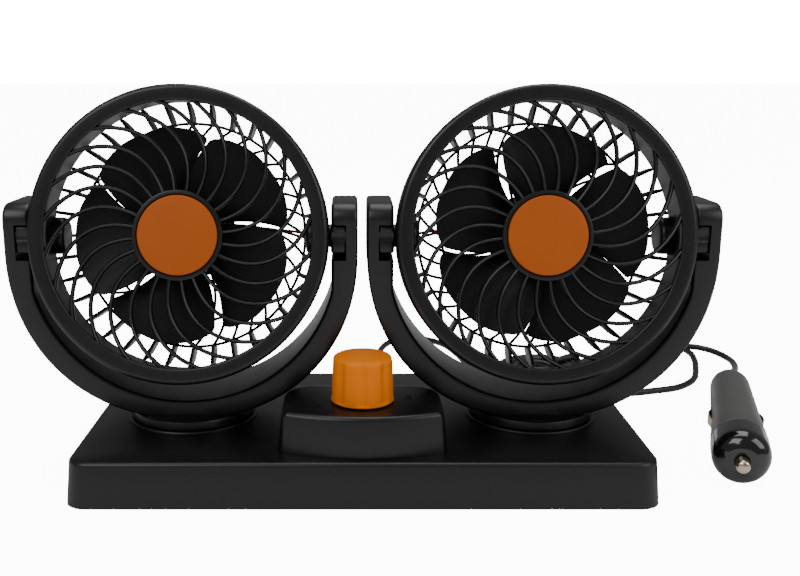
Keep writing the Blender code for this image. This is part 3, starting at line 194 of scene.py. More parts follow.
def apply_modifier(piece, kind, **settings):
    """Adds a modifier with its settings to the piece and applies it."""
    modifier = piece.modifiers.new(kind.lower(), kind)
    for key, value in settings.items():
        setattr(modifier, key, value)
    bpy.context.view_layer.objects.active = piece
    bpy.ops.object.modifier_apply(modifier=modifier.name)
    return piece


def combine(piece, tool, operation):
    """Joins the tool to the piece, or cuts it out."""
    apply_modifier(piece, "BOOLEAN", operation=operation, solver="EXACT", object=tool)
    bpy.data.objects.remove(tool)


def block(low, high):
    """A plain cutting or joining block between two corners."""
    deselect_all()
    middle = [(a + b) / 2 for a, b in zip(low, high)]
    bpy.ops.mesh.primitive_cube_add(size=1, location=middle, scale=[b - a for a, b in zip(low, high)])
    return apply_place()


def rod(radius, start, end, sides=32):
    """A straight round rod between two points, for bores, bosses and pins."""
    deselect_all()
    start = Vector(start)
    end = Vector(end)
    bpy.ops.mesh.primitive_cylinder_add(vertices=sides, radius=radius, depth=(end - start).length,
                                        location=(start + end) / 2,
                                        rotation=(end - start).to_track_quat("Z", "Y").to_euler())
    return apply_place()


def turned_piece(profile, sides, closed=False):
    """A piece turned about the Z axis: a circle, extruded and resized from ring to ring (radius, height)."""
    deselect_all()
    rings = [ring for ring in profile if ring[0] > 0]
    bpy.ops.mesh.primitive_circle_add(vertices=sides, radius=rings[0][0], location=(0, 0, rings[0][1]))
    begin_shaping()
    for (radius, height), (next_radius, next_height) in zip(rings, rings[1:]):
        extrude_edges(z=next_height - height)
        ratio = next_radius / radius
        bpy.ops.transform.resize(value=(ratio, ratio, 1), center_override=(0, 0, next_height))
    if closed:
        bpy.ops.mesh.select_mode(type="VERT")
        pick_first_ring(sides)
        bpy.ops.mesh.bridge_edge_loops()
        return end_shaping()
    if profile[-1][0] == 0:
        extrude_edges(z=profile[-1][1] - rings[-1][1])
        bpy.ops.mesh.merge(type="CENTER")
    if profile[0][0] == 0:
        bpy.ops.mesh.select_all(action="DESELECT")
        pick_first_ring(sides)
        extrude_edges(z=profile[0][1] - rings[0][1])
        bpy.ops.mesh.merge(type="CENTER")
    return end_shaping()


def finish_piece(piece, name, paint, body, nodes=(), place=None, angle=35):
    """Puts the finished piece at its place, shades it, hands it to its material and body, and hides the CAD
    nodes it replaces.
    """
    piece.name = name
    piece.data.name = name
    if place is not None:
        piece.data.transform(place)
    piece.data.materials.clear()
    piece.data.materials.append(paint)
    select_only(piece)
    bpy.ops.object.shade_smooth_by_angle(angle=math.radians(angle))
    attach(piece, body)
    if nodes:
        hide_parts(*nodes)


def feed(tree, socket, value):
    """Links another node's output to the socket, or sets the socket to a plain value."""
    if isinstance(value, bpy.types.NodeSocket):
        tree.links.new(value, socket)
    else:
        socket.default_value = value


def noise(tree, scale, detail):
    """A noise that stays on the piece."""
    texture = tree.nodes.new("ShaderNodeTexNoise")
    feed(tree, texture.inputs["Vector"], tree.nodes.new("ShaderNodeTexCoord").outputs["Object"])
    feed(tree, texture.inputs["Scale"], scale)
    feed(tree, texture.inputs["Detail"], detail)
    return texture.outputs["Fac"]


def mixed_colour(tree, share, low, high):
    """A colour that runs from low to high with the share."""
    mix = tree.nodes.new("ShaderNodeMix")
    mix.data_type = "RGBA"
    feed(tree, mix.inputs["Factor"], share)
    feed(tree, mix.inputs["A"], low)
    feed(tree, mix.inputs["B"], high)
    return mix.outputs["Result"]


def maths(tree, operation, *values):
    """One sum of outputs and plain numbers."""
    node = tree.nodes.new("ShaderNodeMath")
    node.operation = operation
    for socket, value in zip(node.inputs, values):
        feed(tree, socket, value)
    return node.outputs[0]


def moulded_skin():
    """Shader group for moulded plastic: a fine spark-eroded grain, and faint clouds in colour and gloss."""
    group = bpy.data.node_groups.new("moulded_skin", "ShaderNodeTree")
    for name, kind in (("Colour", "NodeSocketColor"), ("Cloud Colour", "NodeSocketColor"),
                       ("Grain Scale", "NodeSocketFloat"), ("Grain Height", "NodeSocketFloat"),
                       ("Roughness", "NodeSocketFloat"), ("Roughness Spread", "NodeSocketFloat")):
        group.interface.new_socket(name, in_out="INPUT", socket_type=kind)
    for name, kind in (("Colour", "NodeSocketColor"), ("Roughness", "NodeSocketFloat"),
                       ("Normal", "NodeSocketVector")):
        group.interface.new_socket(name, in_out="OUTPUT", socket_type=kind)
    given = group.nodes.new("NodeGroupInput").outputs
    result = group.nodes.new("NodeGroupOutput").inputs
    clouds = noise(group, cloud_scale, cloud_detail)
    grain = noise(group, given["Grain Scale"], grain_detail)
    feed(group, result["Colour"], mixed_colour(group, clouds, given["Colour"], given["Cloud Colour"]))
    swing = maths(group, "SUBTRACT", maths(group, "ADD", clouds, grain), 1)
    feed(group, result["Roughness"],
         maths(group, "MULTIPLY_ADD", swing, given["Roughness Spread"], given["Roughness"]))
    bump = group.nodes.new("ShaderNodeBump")
    feed(group, bump.inputs["Distance"], grain_depth)
    feed(group, bump.inputs["Strength"], given["Grain Height"])
    feed(group, bump.inputs["Height"], grain)
    feed(group, result["Normal"], bump.outputs["Normal"])
    return group


skin_group = moulded_skin()


def moulded_plastic(name, colour, cloud, roughness, grain_scale=1400, grain_height=0.12, metallic=0, coat=0,
                    specular=0.5):
    """One moulded or drawn finish with its own values of the skin."""
    paint = bpy.data.materials.new(name)
    paint.use_nodes = True
    shader = paint.node_tree.nodes["Principled BSDF"]
    shader.inputs["Metallic"].default_value = metallic
    shader.inputs["Specular IOR Level"].default_value = specular
    shader.inputs["Coat Weight"].default_value = coat
    shader.inputs["Coat Roughness"].default_value = coat_roughness
    skin = paint.node_tree.nodes.new("ShaderNodeGroup")
    skin.node_tree = skin_group
    for key, value in (("Colour", (*colour, 1)), ("Cloud Colour", (*cloud, 1)), ("Grain Scale", grain_scale),
                       ("Grain Height", grain_height), ("Roughness", roughness),
                       ("Roughness Spread", roughness / 4)):
        skin.inputs[key].default_value = value
    for output, socket in (("Colour", "Base Color"), ("Roughness", "Roughness"), ("Normal", "Normal")):
        paint.node_tree.links.new(skin.outputs[output], shader.inputs[socket])
    return paint


black_plastic = moulded_plastic("black_plastic", (0.0016, 0.0017, 0.0020), (0.0034, 0.0035, 0.0039), 0.36)

deselect_all()
low_size = [side + 2 * base_draft * (1 - base_lift / base_height) for side in base_size]
bpy.ops.mesh.primitive_cube_add(size=1, location=(0, 0, (base_lift + base_height) / 2),
                                scale=(*low_size, base_height - base_lift))
begin_shaping()
pick("FACE", lambda co: co.z > base_height - sink)
bpy.ops.transform.resize(value=(base_size[0] / low_size[0], base_size[1] / low_size[1], 1),
                         center_override=(0, 0, base_height))
pick_edges(lambda a, b: abs(a.z - b.z) > sink)
bpy.ops.mesh.bevel(offset=base_corner, segments=8)
pick("FACE", lambda co: co.z > base_height - sink)
bpy.ops.mesh.region_to_loop()
bpy.ops.mesh.bevel(offset=base_edge, segments=4)
pick("FACE", lambda co: co.z < base_lift + sink / 10)
bpy.ops.mesh.inset(thickness=base_wall)
extrude(z=base_height - base_wall - base_lift)
base_shell = end_shaping()

deselect_all()
bpy.ops.mesh.primitive_plane_add(size=1, location=(0, boss_middle, base_height - sink))
bpy.context.object.scale = (*boss_size, 1)
begin_shaping()
front = boss_middle - boss_size[1] / 2
pick("EDGE", lambda co: co.y < front + sink)
bpy.ops.mesh.subdivide(number_cuts=31)
shape = bmesh.from_edit_mesh(bpy.context.edit_object.data)
for vert in shape.verts:
    if vert.co.y < front + sink:
        vert.co.y += boss_bow * (2 * vert.co.x / boss_size[0]) ** 2
bmesh.update_edit_mesh(bpy.context.edit_object.data)
half = boss_size[0] / 2
pick("VERT", lambda co: abs(co.x) > half - sink and co.y < boss_middle)
bpy.ops.mesh.bevel(offset=boss_front_corner, segments=8, affect="VERTICES")
pick("VERT", lambda co: abs(co.x) > half - sink and co.y > boss_middle + boss_size[1] / 2 - sink)
bpy.ops.mesh.bevel(offset=boss_back_corner, segments=10, affect="VERTICES")
bpy.ops.mesh.select_mode(type="FACE")
bpy.ops.mesh.select_all(action="SELECT")
extrude(z=boss_height + sink)
draft_ratio = 1 - 2 * boss_draft / boss_size[0]
bpy.ops.transform.resize(value=(draft_ratio, draft_ratio, 1), center_override=(0, boss_middle, boss_top))
bpy.ops.mesh.region_to_loop()
bpy.ops.mesh.bevel(offset=boss_edge, segments=4)
combine(base_shell, end_shaping(), "UNION")
hollow_floor = base_height - 2 * base_wall
hollow_side = boss_size[0] * hollow_side_share
pedestal_edge = pedestal_height / 2
pedestal_top = base_height + pedestal_height
for x in sides_x.values():
    pedestal = turned_piece([(0, base_height - sink), (pedestal_radius, base_height - sink),
                             (pedestal_radius, base_height + pedestal_edge),
                             (pedestal_radius - pedestal_edge, pedestal_top), (0, pedestal_top)], 96)
    pedestal.data.transform(Matrix.Translation((x, 0, 0)))
    combine(base_shell, pedestal, "UNION")
    combine(base_shell, rod(swivel_hole_radius, (x, 0, hollow_floor), (x, 0, base_height * 2)), "DIFFERENCE")
hollow = block((-hollow_side, boss_middle - boss_size[1] * hollow_front_share, hollow_floor),
               (hollow_side, boss_middle + boss_size[1] * hollow_back_share, boss_top - base_wall))
combine(base_shell, hollow, "DIFFERENCE")
switch_hole = rod(switch_hole_radius, (0, boss_middle, base_height), (0, boss_middle, boss_top * 2))
combine(base_shell, switch_hole, "DIFFERENCE")
cord_hole = rod(cord_hole_radius, *[(cord_exit_x, y, cord_exit_height) for y in cord_hole_reach])
combine(base_shell, cord_hole, "DIFFERENCE")
finish_piece(base_shell, "base_tray", black_plastic, "base", ["base_shell"])


# Bottom plate, feet and screws
# A flat plate of dark plastic closes the tray from below and is held by four countersunk steel screws.
# The fan stands on four soft rubber feet under it.

dark_plastic = moulded_plastic("dark_plastic", (0.0060, 0.0060, 0.0065), (0.0100, 0.0100, 0.0105), 0.50)
rubber = moulded_plastic("rubber", (0.010, 0.010, 0.010), (0.018, 0.018, 0.018), 0.85, 900, 0.3)
steel = moulded_plastic("steel", (0.42, 0.42, 0.43), (0.55, 0.55, 0.56), 0.28, 2200, 0.05, metallic=1)


def dress(paint, *names):
    """Gives CAD nodes their material."""
    for name in names:
        for slot in bpy.data.objects[name].material_slots:
            slot.material = paint


dress(dark_plastic, "base_plate")
dress(rubber, "foot_front_left", "foot_front_right", "foot_back_left", "foot_back_right")
dress(steel, "base_screw_1", "base_screw_2", "base_screw_3", "base_screw_4")


# Switch and its marks
# A rotary switch hangs under the boss by its steel nut, and its shaft stands up through the top. The
# speeds are raised figures, moulded on the boss beside the knob.

mark_size = 0.0050
mark_height = 0.00025
mark_reach = (0.0182, 0.0150)
mark_angles = {"0": 205, "1": -25, "2": 15}
dress(dark_plastic, "speed_switch")
dress(steel, "switch_nut", "switch_shaft")
for figure, angle in mark_angles.items():
    deselect_all()
    turn = math.radians(angle)
    place = (mark_reach[0] * math.cos(turn), boss_middle + mark_reach[1] * math.sin(turn),
             boss_top - mark_height / 2)
    bpy.ops.object.text_add(location=place)
    mark = bpy.context.object
    mark.data.body = figure
    mark.data.size = mark_size
    mark.data.extrude = mark_height
    mark.data.align_x = "CENTER"
    mark.data.align_y = "CENTER"
    bpy.ops.object.convert(target="MESH")
    finish_piece(apply_place(), "speed_mark_" + figure, black_plastic, "base")


# Knob
# The orange speed knob is one moulding with eight shallow flutes that fade out in its rounded top edge. It is
# pushed on the switch's shaft, and a recess below gives the switch's nut room.

knob_radius = 0.0117
knob_top_radius = 0.0112
knob_height = 0.0172
knob_foot_edge = 0.0003
knob_skirt = 0.0006
knob_step = 0.0001
knob_edge = 0.0020
knob_dome = 0.0002
flutes = 8
flute_depth = 0.0008
flute_share = 0.56
flute_zone = 0.8
crown_share = 0.55
crown_drop = 0.3
running_gap = 0.0005
nut_recess_radius = 0.0080
nut_recess_depth = 0.0042
shaft_radius = 0.0030
shaft_reach = 0.0120
knob_orange = moulded_plastic("knob_orange", (0.82, 0.185, 0.0002), (0.88, 0.210, 0.0004), 0.42, 1600, 0.08,
                              specular=0.14)


def straight(start, end, steps):
    """Even points of a profile from start to end, both included."""
    return [(start[0] + (end[0] - start[0]) * step / steps, start[1] + (end[1] - start[1]) * step / steps)
            for step in range(steps + 1)]


def quarter_round(start, end, steps):
    """A quarter arc of a profile that leaves start along the axis and comes to end square to it."""
    turns = [step / steps * math.pi / 2 for step in range(steps + 1)]
    return [(start[0] + (end[0] - start[0]) * (1 - math.cos(turn)),
             start[1] + (end[1] - start[1]) * math.sin(turn)) for turn in turns]


side_radius = knob_radius - knob_step
side_low = knob_skirt + 5 * knob_step
edge_high = knob_height - knob_dome
edge_low = edge_high - knob_edge
profile = [(0, shaft_reach), (shaft_radius, shaft_reach), (shaft_radius, nut_recess_depth),
           (nut_recess_radius, nut_recess_depth), (nut_recess_radius, 0), (knob_radius - knob_foot_edge, 0),
           (knob_radius, knob_foot_edge), (knob_radius, knob_skirt),
           (side_radius, knob_skirt + knob_foot_edge)]
profile += straight((side_radius, side_low), (knob_top_radius, edge_low), 8)
profile += quarter_round((knob_top_radius, edge_low), (knob_top_radius - knob_edge, edge_high), 5)[1:]
profile += [(knob_top_radius * crown_share, knob_height - knob_dome * crown_drop), (0, knob_height)]
knob = turned_piece(profile, 160)
for vert in knob.data.vertices:
    reach = math.hypot(vert.co.x, vert.co.y)
    if vert.co.z > knob_skirt + 4 * knob_step and reach > knob_top_radius * flute_zone:
        share = (math.atan2(vert.co.y, vert.co.x) * flutes / math.tau + 0.5) % 1 - 0.5
        if abs(share) < flute_share / 2:
            fade = min(1, (edge_high - vert.co.z) / knob_edge)
            depth = flute_depth * (1 + math.cos(math.tau * share / flute_share)) / 2 * max(0, fade)
            vert.co.x *= 1 - depth / reach
            vert.co.y *= 1 - depth / reach
finish_piece(knob, "speed_knob", knob_orange, "knob_body", ["knob"],
             Matrix.Translation((0, boss_middle, boss_top + running_gap)), angle=50)


# Yokes
# Each fan hangs in a U-shaped yoke of black plastic, moulded with a round foot that turns on the base. A
# screw and a washer hold it from below. In each arm's notch a block of the same plastic keeps the
# trunnion in.

pivot_height = 0.090192
yoke_inner_radius = 0.057992
yoke_outer_rise = 0.065592
yoke_fullness = 2.12
yoke_half_span = 0.0661
yoke_arm_inner = 0.0561
yoke_drop = 0.0041
yoke_arm_top = 0.0144
yoke_half_depth = 0.0165
yoke_tip_radius = 0.0065
yoke_edge = 0.0014
yoke_foot_radius = 0.0240
yoke_foot_height = 0.0032
yoke_foot_edge = 0.0010
spigot_radius = 0.0080
spigot_gap = 0.0003
yoke_screw_radius = 0.0017
yoke_screw_depth = 0.0070
notch_low = (0.0541, -0.0185, -0.0068)
notch_high = (0.0617, 0.0070, 0.0066)
trunnion_bore = 0.0048
trunnion_cover = 0.0019
bearing_low = (0.0559, -0.0158, -0.0043)
bearing_high = (0.0619, -0.0053, 0.0062)
bearing_edge = 0.0012
bearing_waist_radius = 0.0045
bearing_waist_depth = 0.0006
bearing_waist_height = 0.0022
hair = 0.0001                   # the width of a finer pick


def soften(piece, width, segments=3):
    """Rounds the piece's hard edges."""
    return apply_modifier(piece, "BEVEL", width=width, segments=segments, limit_method="ANGLE",
                          angle_limit=math.radians(40), use_clamp_overlap=True)


def side_block(sign, low, high):
    """A block that is given for the right-hand side, on the side that the sign says."""
    near, far = sorted((sign * low[0], sign * high[0]))
    return block((near, *low[1:]), (far, *high[1:]))


def join_all(pieces):
    """Makes one piece of several."""
    deselect_all()
    for piece in pieces:
        piece.select_set(True)
    bpy.context.view_layer.objects.active = pieces[0]
    bpy.ops.object.join()
    return pieces[0]


def twin(piece, matrix):
    """A copy with its own mesh, moved by the matrix."""
    copy = piece.copy()
    copy.data = piece.data.copy()
    copy.data.transform(matrix)
    bpy.context.collection.objects.link(copy)
    return copy


deselect_all()
bpy.ops.mesh.primitive_circle_add(vertices=128, radius=yoke_inner_radius,
                                  location=(0, -yoke_half_depth, -yoke_drop), rotation=(math.pi / 2, 0, 0))
begin_shaping()
pick("VERT", lambda co: co.z > -yoke_drop + hair)
bpy.ops.mesh.delete(type="VERT")
bpy.ops.mesh.select_all(action="SELECT")
extrude_edges()
bpy.ops.transform.resize(value=(yoke_half_span / yoke_inner_radius, 1, yoke_outer_rise / yoke_inner_radius),
                         center_override=(0, 0, -yoke_drop))
shape = bmesh.from_edit_mesh(bpy.context.edit_object.data)
for vert in shape.verts:
    if vert.select:
        across = abs(vert.co.x) / yoke_half_span
        down = abs(vert.co.z + yoke_drop) / yoke_outer_rise
        vert.co.x = math.copysign(yoke_half_span * across ** (2 / yoke_fullness), vert.co.x)
        vert.co.z = -yoke_drop - yoke_outer_rise * down ** (2 / yoke_fullness)
    else:
        vert.co.x = max(-yoke_arm_inner, min(yoke_arm_inner, vert.co.x))
bmesh.update_edit_mesh(bpy.context.edit_object.data)
pick("EDGE", lambda co: co.z > -yoke_drop - hair)
extrude_edges(z=yoke_arm_top + yoke_drop)
bpy.ops.mesh.select_mode(type="FACE")
bpy.ops.mesh.select_all(action="SELECT")
extrude(y=2 * yoke_half_depth)
pick_edges(lambda a, b: min(a.z, b.z) > yoke_arm_top - sink and abs(a.y - b.y) < sink)
bpy.ops.mesh.bevel(offset=yoke_tip_radius, segments=12)
yoke = soften(end_shaping(), yoke_edge, 4)
foot_low = base_height + pedestal_height + running_gap - pivot_height
foot_high = foot_low + yoke_foot_height
spigot_low = base_height - base_wall - spigot_gap - pivot_height
foot = turned_piece([(0, spigot_low), (spigot_radius, spigot_low), (spigot_radius, foot_low),
                     (yoke_foot_radius, foot_low), (yoke_foot_radius, foot_high - yoke_foot_edge),
                     (yoke_foot_radius - yoke_foot_edge * 0.3, foot_high - yoke_foot_edge * 0.3),
                     (yoke_foot_radius - yoke_foot_edge, foot_high), (0, foot_high)], 96)
combine(yoke, foot, "UNION")
screw_hole = rod(yoke_screw_radius, (0, 0, spigot_low - sink), (0, 0, spigot_low + yoke_screw_depth))
combine(yoke, screw_hole, "DIFFERENCE")
bearings = []
for sign in (-1, 1):
    combine(yoke, side_block(sign, notch_low, notch_high), "DIFFERENCE")
    bore_end = sign * (yoke_half_span - trunnion_cover)
    combine(yoke, rod(trunnion_bore, (sign * notch_low[0], 0, 0), (bore_end, 0, 0), 48), "DIFFERENCE")
    bearing = soften(side_block(sign, bearing_low, bearing_high), bearing_edge, 4)
    waist = (bearing_low[1] + bearing_waist_depth - bearing_waist_radius, bearing_waist_height)
    ends = sorted((sign * (bearing_low[0] - sink), sign * (bearing_high[0] + sink)))
    combine(bearing, rod(bearing_waist_radius, *[(x, *waist) for x in ends], 48), "DIFFERENCE")
    bearings.append(bearing)
bearings = join_all(bearings)
for side, x in sides_x.items():
    at = Matrix.Translation((x, 0, pivot_height))
    body = side + "_yoke_body"
    finish_piece(twin(yoke, at), side + "_fork", black_plastic, body, [side + "_yoke"])
    finish_piece(twin(bearings, at), side + "_bearings", black_plastic, body)
    dress(steel, side + "_swivel_washer", side + "_swivel_screw")
bpy.data.objects.remove(yoke)
bpy.data.objects.remove(bearings)


# Front grille
# Each head's front is one black moulding: a ring with a rounded front, a hub cup and 24 thin curved spokes
# that run straight off the hub and lean over towards the ring. The ring goes over the rear cover's rim band.

ring_radius = 0.0553
ring_front = 0.0230
ring_round = 0.0020
ring_chamfer = 0.0003
ring_lip_radius = 0.0492
ring_lip_thickness = 0.0040
ring_lip_edge = 0.0007
ring_lip_inset = 0.0004
ring_wall = 0.0020
ring_skirt_back = 0.0060
hub_ring_radius = 0.0166
hub_ring_back = 0.0180
hub_edge = 0.0004
hub_cup_radius = 0.0150
hub_cup_depth = 0.0026
hub_cup_edge = 0.0002
spoke_count = 24
spoke_width = 0.0016
spoke_depth = 0.0028
spoke_sink = 0.0009
spoke_sweep = math.radians(33.5)
spoke_phase = math.radians(4)
fit_gap = 0.0003
weld_gap = 0.00001
head_tilt = {"left": math.radians(9.8), "right": math.radians(9.6)}
head_place = {}
for side, x in sides_x.items():
    tilt = Matrix.Rotation(math.pi / 2 - head_tilt[side], 4, "X")
    head_place[side] = Matrix.Translation((x, 0, pivot_height)) @ tilt


def all_round(piece, count):
    """The piece repeated evenly about the Z axis, as one piece."""
    copies = [twin(piece, Matrix.Rotation(math.tau * number / count, 4, "Z")) for number in range(1, count)]
    return join_all([piece] + copies)


def drawn_curve(name, points):
    """An open curve straight from point to point, with closed ends."""
    curve = bpy.data.curves.new(name, "CURVE")
    curve.dimensions = "3D"
    curve.use_fill_caps = True
    line = curve.splines.new("POLY")
    line.points.add(len(points) - 1)
    for spot, point in zip(line.points, points):
        spot.co = (*point, 1)
    drawn = bpy.data.objects.new(name, curve)
    bpy.context.collection.objects.link(drawn)
    return drawn


def bar_along(points, width, depth, sides=8):
    """A bar with an oval section, upright on its path: a curve with a profile, made a mesh."""
    deselect_all()
    bpy.ops.curve.primitive_bezier_circle_add(radius=0.5)
    section = bpy.context.object
    section.scale = (width, depth, 1)
    apply_place()
    section.data.resolution_u = sides // 4
    bar = drawn_curve("bar", points)
    bar.data.twist_mode = "Z_UP"
    bar.data.bevel_mode = "OBJECT"
    bar.data.bevel_object = section
    select_only(bar)
    bpy.ops.object.convert(target="MESH")
    bar = bpy.context.object
    bpy.ops.object.mode_set(mode="EDIT")
    bpy.ops.mesh.select_all(action="SELECT")
    bpy.ops.mesh.remove_doubles(threshold=weld_gap)
    end_shaping()
    bpy.data.objects.remove(section)
    return bar


def on_both_heads(piece, name, paint, node, places, body, angle=35):
    """Puts a copy of a head's piece on each of the two heads and removes the pattern."""
    for side in ("left", "right"):
        copy = twin(piece, places[side])
        nodes = [side + "_" + node] if node else ()
        finish_piece(copy, side + "_" + name, paint, side + body, nodes, angle=angle)
    bpy.data.objects.remove(piece)


lip_back = ring_front - ring_lip_thickness
lip_front = ring_front - ring_lip_inset
profile = [(ring_radius - ring_wall, ring_skirt_back), (ring_radius - ring_chamfer, ring_skirt_back),
           (ring_radius, ring_skirt_back + ring_chamfer)]
profile += quarter_round((ring_radius, ring_front - ring_round), (ring_radius - ring_round, ring_front), 6)
profile += quarter_round((ring_lip_radius, lip_front - ring_lip_edge),
                         (ring_lip_radius + ring_lip_edge, lip_front), 4)[::-1]
profile += [(ring_lip_radius, lip_back + ring_chamfer), (ring_lip_radius + ring_chamfer, lip_back),
            (ring_radius - ring_wall, lip_back)]
grille_ring = turned_piece(profile, 144, closed=True)
hub_floor = ring_front - hub_cup_depth
hub = turned_piece([(0, hub_ring_back), (hub_ring_radius, hub_ring_back),
                    (hub_ring_radius, ring_front - hub_edge),
                    (hub_ring_radius - hub_edge / 4, ring_front - hub_edge / 4),
                    (hub_ring_radius - hub_edge, ring_front), (hub_cup_radius + hub_cup_edge, ring_front),
                    (hub_cup_radius, ring_front - hub_cup_edge), (hub_cup_radius, hub_floor),
                    (0, hub_floor)], 96)
spoke_start = (hub_ring_radius + hub_cup_radius) / 2
spoke_end = ring_lip_radius + ring_round / 2
spoke_middle = ring_front - spoke_sink - spoke_depth / 2
path = []
for step in range(17):
    radius = spoke_start + (spoke_end - spoke_start) * step / 16
    lean = spoke_sweep * max(0, (radius - hub_ring_radius) / (ring_lip_radius - hub_ring_radius)) ** 2
    path.append((radius * math.cos(spoke_phase + lean), radius * math.sin(spoke_phase + lean), spoke_middle))
spokes = all_round(bar_along(path, spoke_width, spoke_depth, 12), spoke_count)
on_both_heads(join_all([grille_ring, hub, spokes]), "grille", black_plastic, "front_grille",
              head_place, "_head")


# Grille screws
# One small dark steel screw with a cross slot stands under each ring. It goes through the ring's skirt and
# holds the grille to the rear cover.

screw_radius = 0.0022
screw_rim = 0.0002
screw_shoulder_radius = 0.0019
screw_crown_radius = 0.0010
screw_height = 0.0008
cross_half_length = 0.0012
cross_half_width = 0.0003
screw_place = 0.0125
screw_dark = moulded_plastic("screw_dark", (0.03, 0.03, 0.032), (0.06, 0.06, 0.062), 0.35, 2200, 0.05,
                             metallic=1)
screw = turned_piece([(0, -sink), (screw_radius, -sink), (screw_radius, screw_rim),
                      (screw_shoulder_radius, screw_height * 0.7), (screw_crown_radius, screw_height),
                      (0, screw_height)], 32)
for turn in (0, math.pi / 2):
    slot = block((-cross_half_length, -cross_half_width, screw_height / 2),
                 (cross_half_length, cross_half_width, screw_height * 3))
    slot.data.transform(Matrix.Rotation(turn, 4, "Z"))
    combine(screw, slot, "DIFFERENCE")
screw_down = Matrix.Translation((0, -ring_radius, screw_place)) @ Matrix.Rotation(math.pi / 2, 4, "X")
screw.data.transform(screw_down)
on_both_heads(screw, "grille_screw", screw_dark, None, head_place, "_head")


# Hub cap
# A slightly crowned disc of orange plastic with a rounded edge. It is pressed into the cup in the middle
# of each grille and stands a little proud of it.

cap_rise = 0.0006
cap_edge = 0.0006
cap_orange = moulded_plastic("cap_orange", (0.400, 0.076, 0.0008), (0.450, 0.090, 0.0012), 0.55, 1600, 0.10,
                             specular=0.3)
cap_low = hub_floor + fit_gap
cap_high = ring_front + cap_rise
cap_radius = hub_cup_radius - fit_gap
profile = [(0, cap_low), (cap_radius, cap_low)]
profile += quarter_round((cap_radius, cap_high - cap_edge), (cap_radius - cap_edge, cap_high), 4)
profile += [(cap_radius / 2, cap_high + cap_edge / 4), (0, cap_high + cap_edge / 3)]
on_both_heads(turned_piece(profile, 96), "cap", cap_orange, "hub_cap", head_place, "_head")


# Rear cover
# The back of a head is one black moulding: a rim band that plugs into the ring, two trunnions on it, a cup
# for the steel motor, and 36 swept ribs that two concentric rings tie together. Each rib ends in a deep
# radial vane.

band_lap = 0.0115
band_wall = 0.0018
band_back = 0.0005
band_inner_edge = 0.0003
band_outer_edge = 0.0005
basket_back = -0.0220
basket_fullness = 5
ribs_count = 36
rib_width = 0.0012
rib_depth = 0.0020
rib_sweep = math.radians(-32)
rib_bend = 1.6
rib_phase = math.radians(3)
rear_rings = (0.0350, 0.0450)
rear_ring_share = 0.9
vane_thickness = 0.0014
vane_edge = 0.0003
vane_outline = ((0.0450, -0.0125), (0.0521, -0.0010), (0.0521, -0.0085), (0.0505, -0.0150), (0.0480, -0.0192),
                (0.0450, -0.0215))
cup_radius = 0.0142
cup_wall = 0.0017
cup_floor = 0.0014
cup_front = -0.0060
cup_flange = 0.0168
cup_flange_edge = 0.0010
cup_fillet = 0.0006
cup_edge = 0.0003
trunnion_radius = 0.0045
trunnion_edge = 0.0004
trunnion_boss_radius = 0.0072
trunnion_boss_reach = 0.0050
trunnion_boss_edge = 0.0018
band_outer = ring_radius - ring_wall - fit_gap
band_inner = band_outer - band_wall
flush = ring_radius - ring_wall / 4
rim = band_inner + band_wall / 2
root = cup_radius - cup_wall / 2


def basket_height(radius):
    """How far the basket bows back at this radius."""
    share = max(0, min(1, (radius - cup_radius) / (rim - cup_radius)))
    deepest = basket_back + rib_depth
    top = band_back + rib_depth
    return top + (deepest - top) * (1 - share ** basket_fullness) ** 0.5


pieces = [turned_piece([(band_inner, band_back + band_inner_edge), (band_inner + band_inner_edge, band_back),
                        (flush - band_outer_edge, band_back), (flush, band_back + band_outer_edge),
                        (flush, ring_skirt_back - fit_gap), (band_outer, ring_skirt_back - fit_gap),
                        (band_outer, ring_skirt_back + band_lap), (band_inner, ring_skirt_back + band_lap)],
                       144, closed=True)]
path = []
for step in range(17):
    radius = root + (rear_rings[1] - root) * step / 16
    turn = rib_phase + rib_sweep * ((radius - root) / (rim - root)) ** rib_bend
    path.append((radius * math.cos(turn), radius * math.sin(turn), basket_height(radius)))
rib_end_turn = turn
pieces.append(all_round(bar_along(path, rib_width, rib_depth), ribs_count))
mesh = bpy.data.meshes.new("vane")
mesh.from_pydata([(radius, 0, height) for radius, height in vane_outline], [], [range(len(vane_outline))])
vane = bpy.data.objects.new("vane", mesh)
bpy.context.collection.objects.link(vane)
apply_modifier(vane, "SOLIDIFY", thickness=vane_thickness, offset=0)
soften(vane, vane_edge, 2)
vane.data.transform(Matrix.Rotation(rib_end_turn, 4, "Z"))
pieces.append(all_round(vane, ribs_count))
for radius in rear_rings:
    deselect_all()
    middle = (0, 0, basket_height(radius))
    bpy.ops.mesh.primitive_torus_add(major_radius=radius, minor_radius=rib_width / 2, major_segments=144,
                                     minor_segments=10, location=middle)
    begin_shaping()
    bpy.ops.transform.resize(value=(1, 1, rib_depth / rib_width * rear_ring_share), center_override=middle)
    pieces.append(end_shaping())
cup_inside = basket_back + cup_floor
cup_bore = cup_radius - cup_wall
pieces.append(turned_piece([(0, basket_back), (cup_flange - cup_flange_edge, basket_back),
                            (cup_flange - cup_flange_edge * 0.3, basket_back + cup_flange_edge * 0.4),
                            (cup_flange, cup_inside), (cup_radius + cup_fillet, cup_inside + cup_wall * 0.6),
                            (cup_radius, cup_inside + cup_wall), (cup_radius, cup_front - cup_edge),
                            (cup_radius - cup_edge, cup_front), (cup_bore, cup_front), (cup_bore, cup_inside),
                            (0, cup_inside)], 72))
trunnion_end = yoke_half_span - trunnion_cover - running_gap
boss_start = band_inner - trunnion_boss_reach
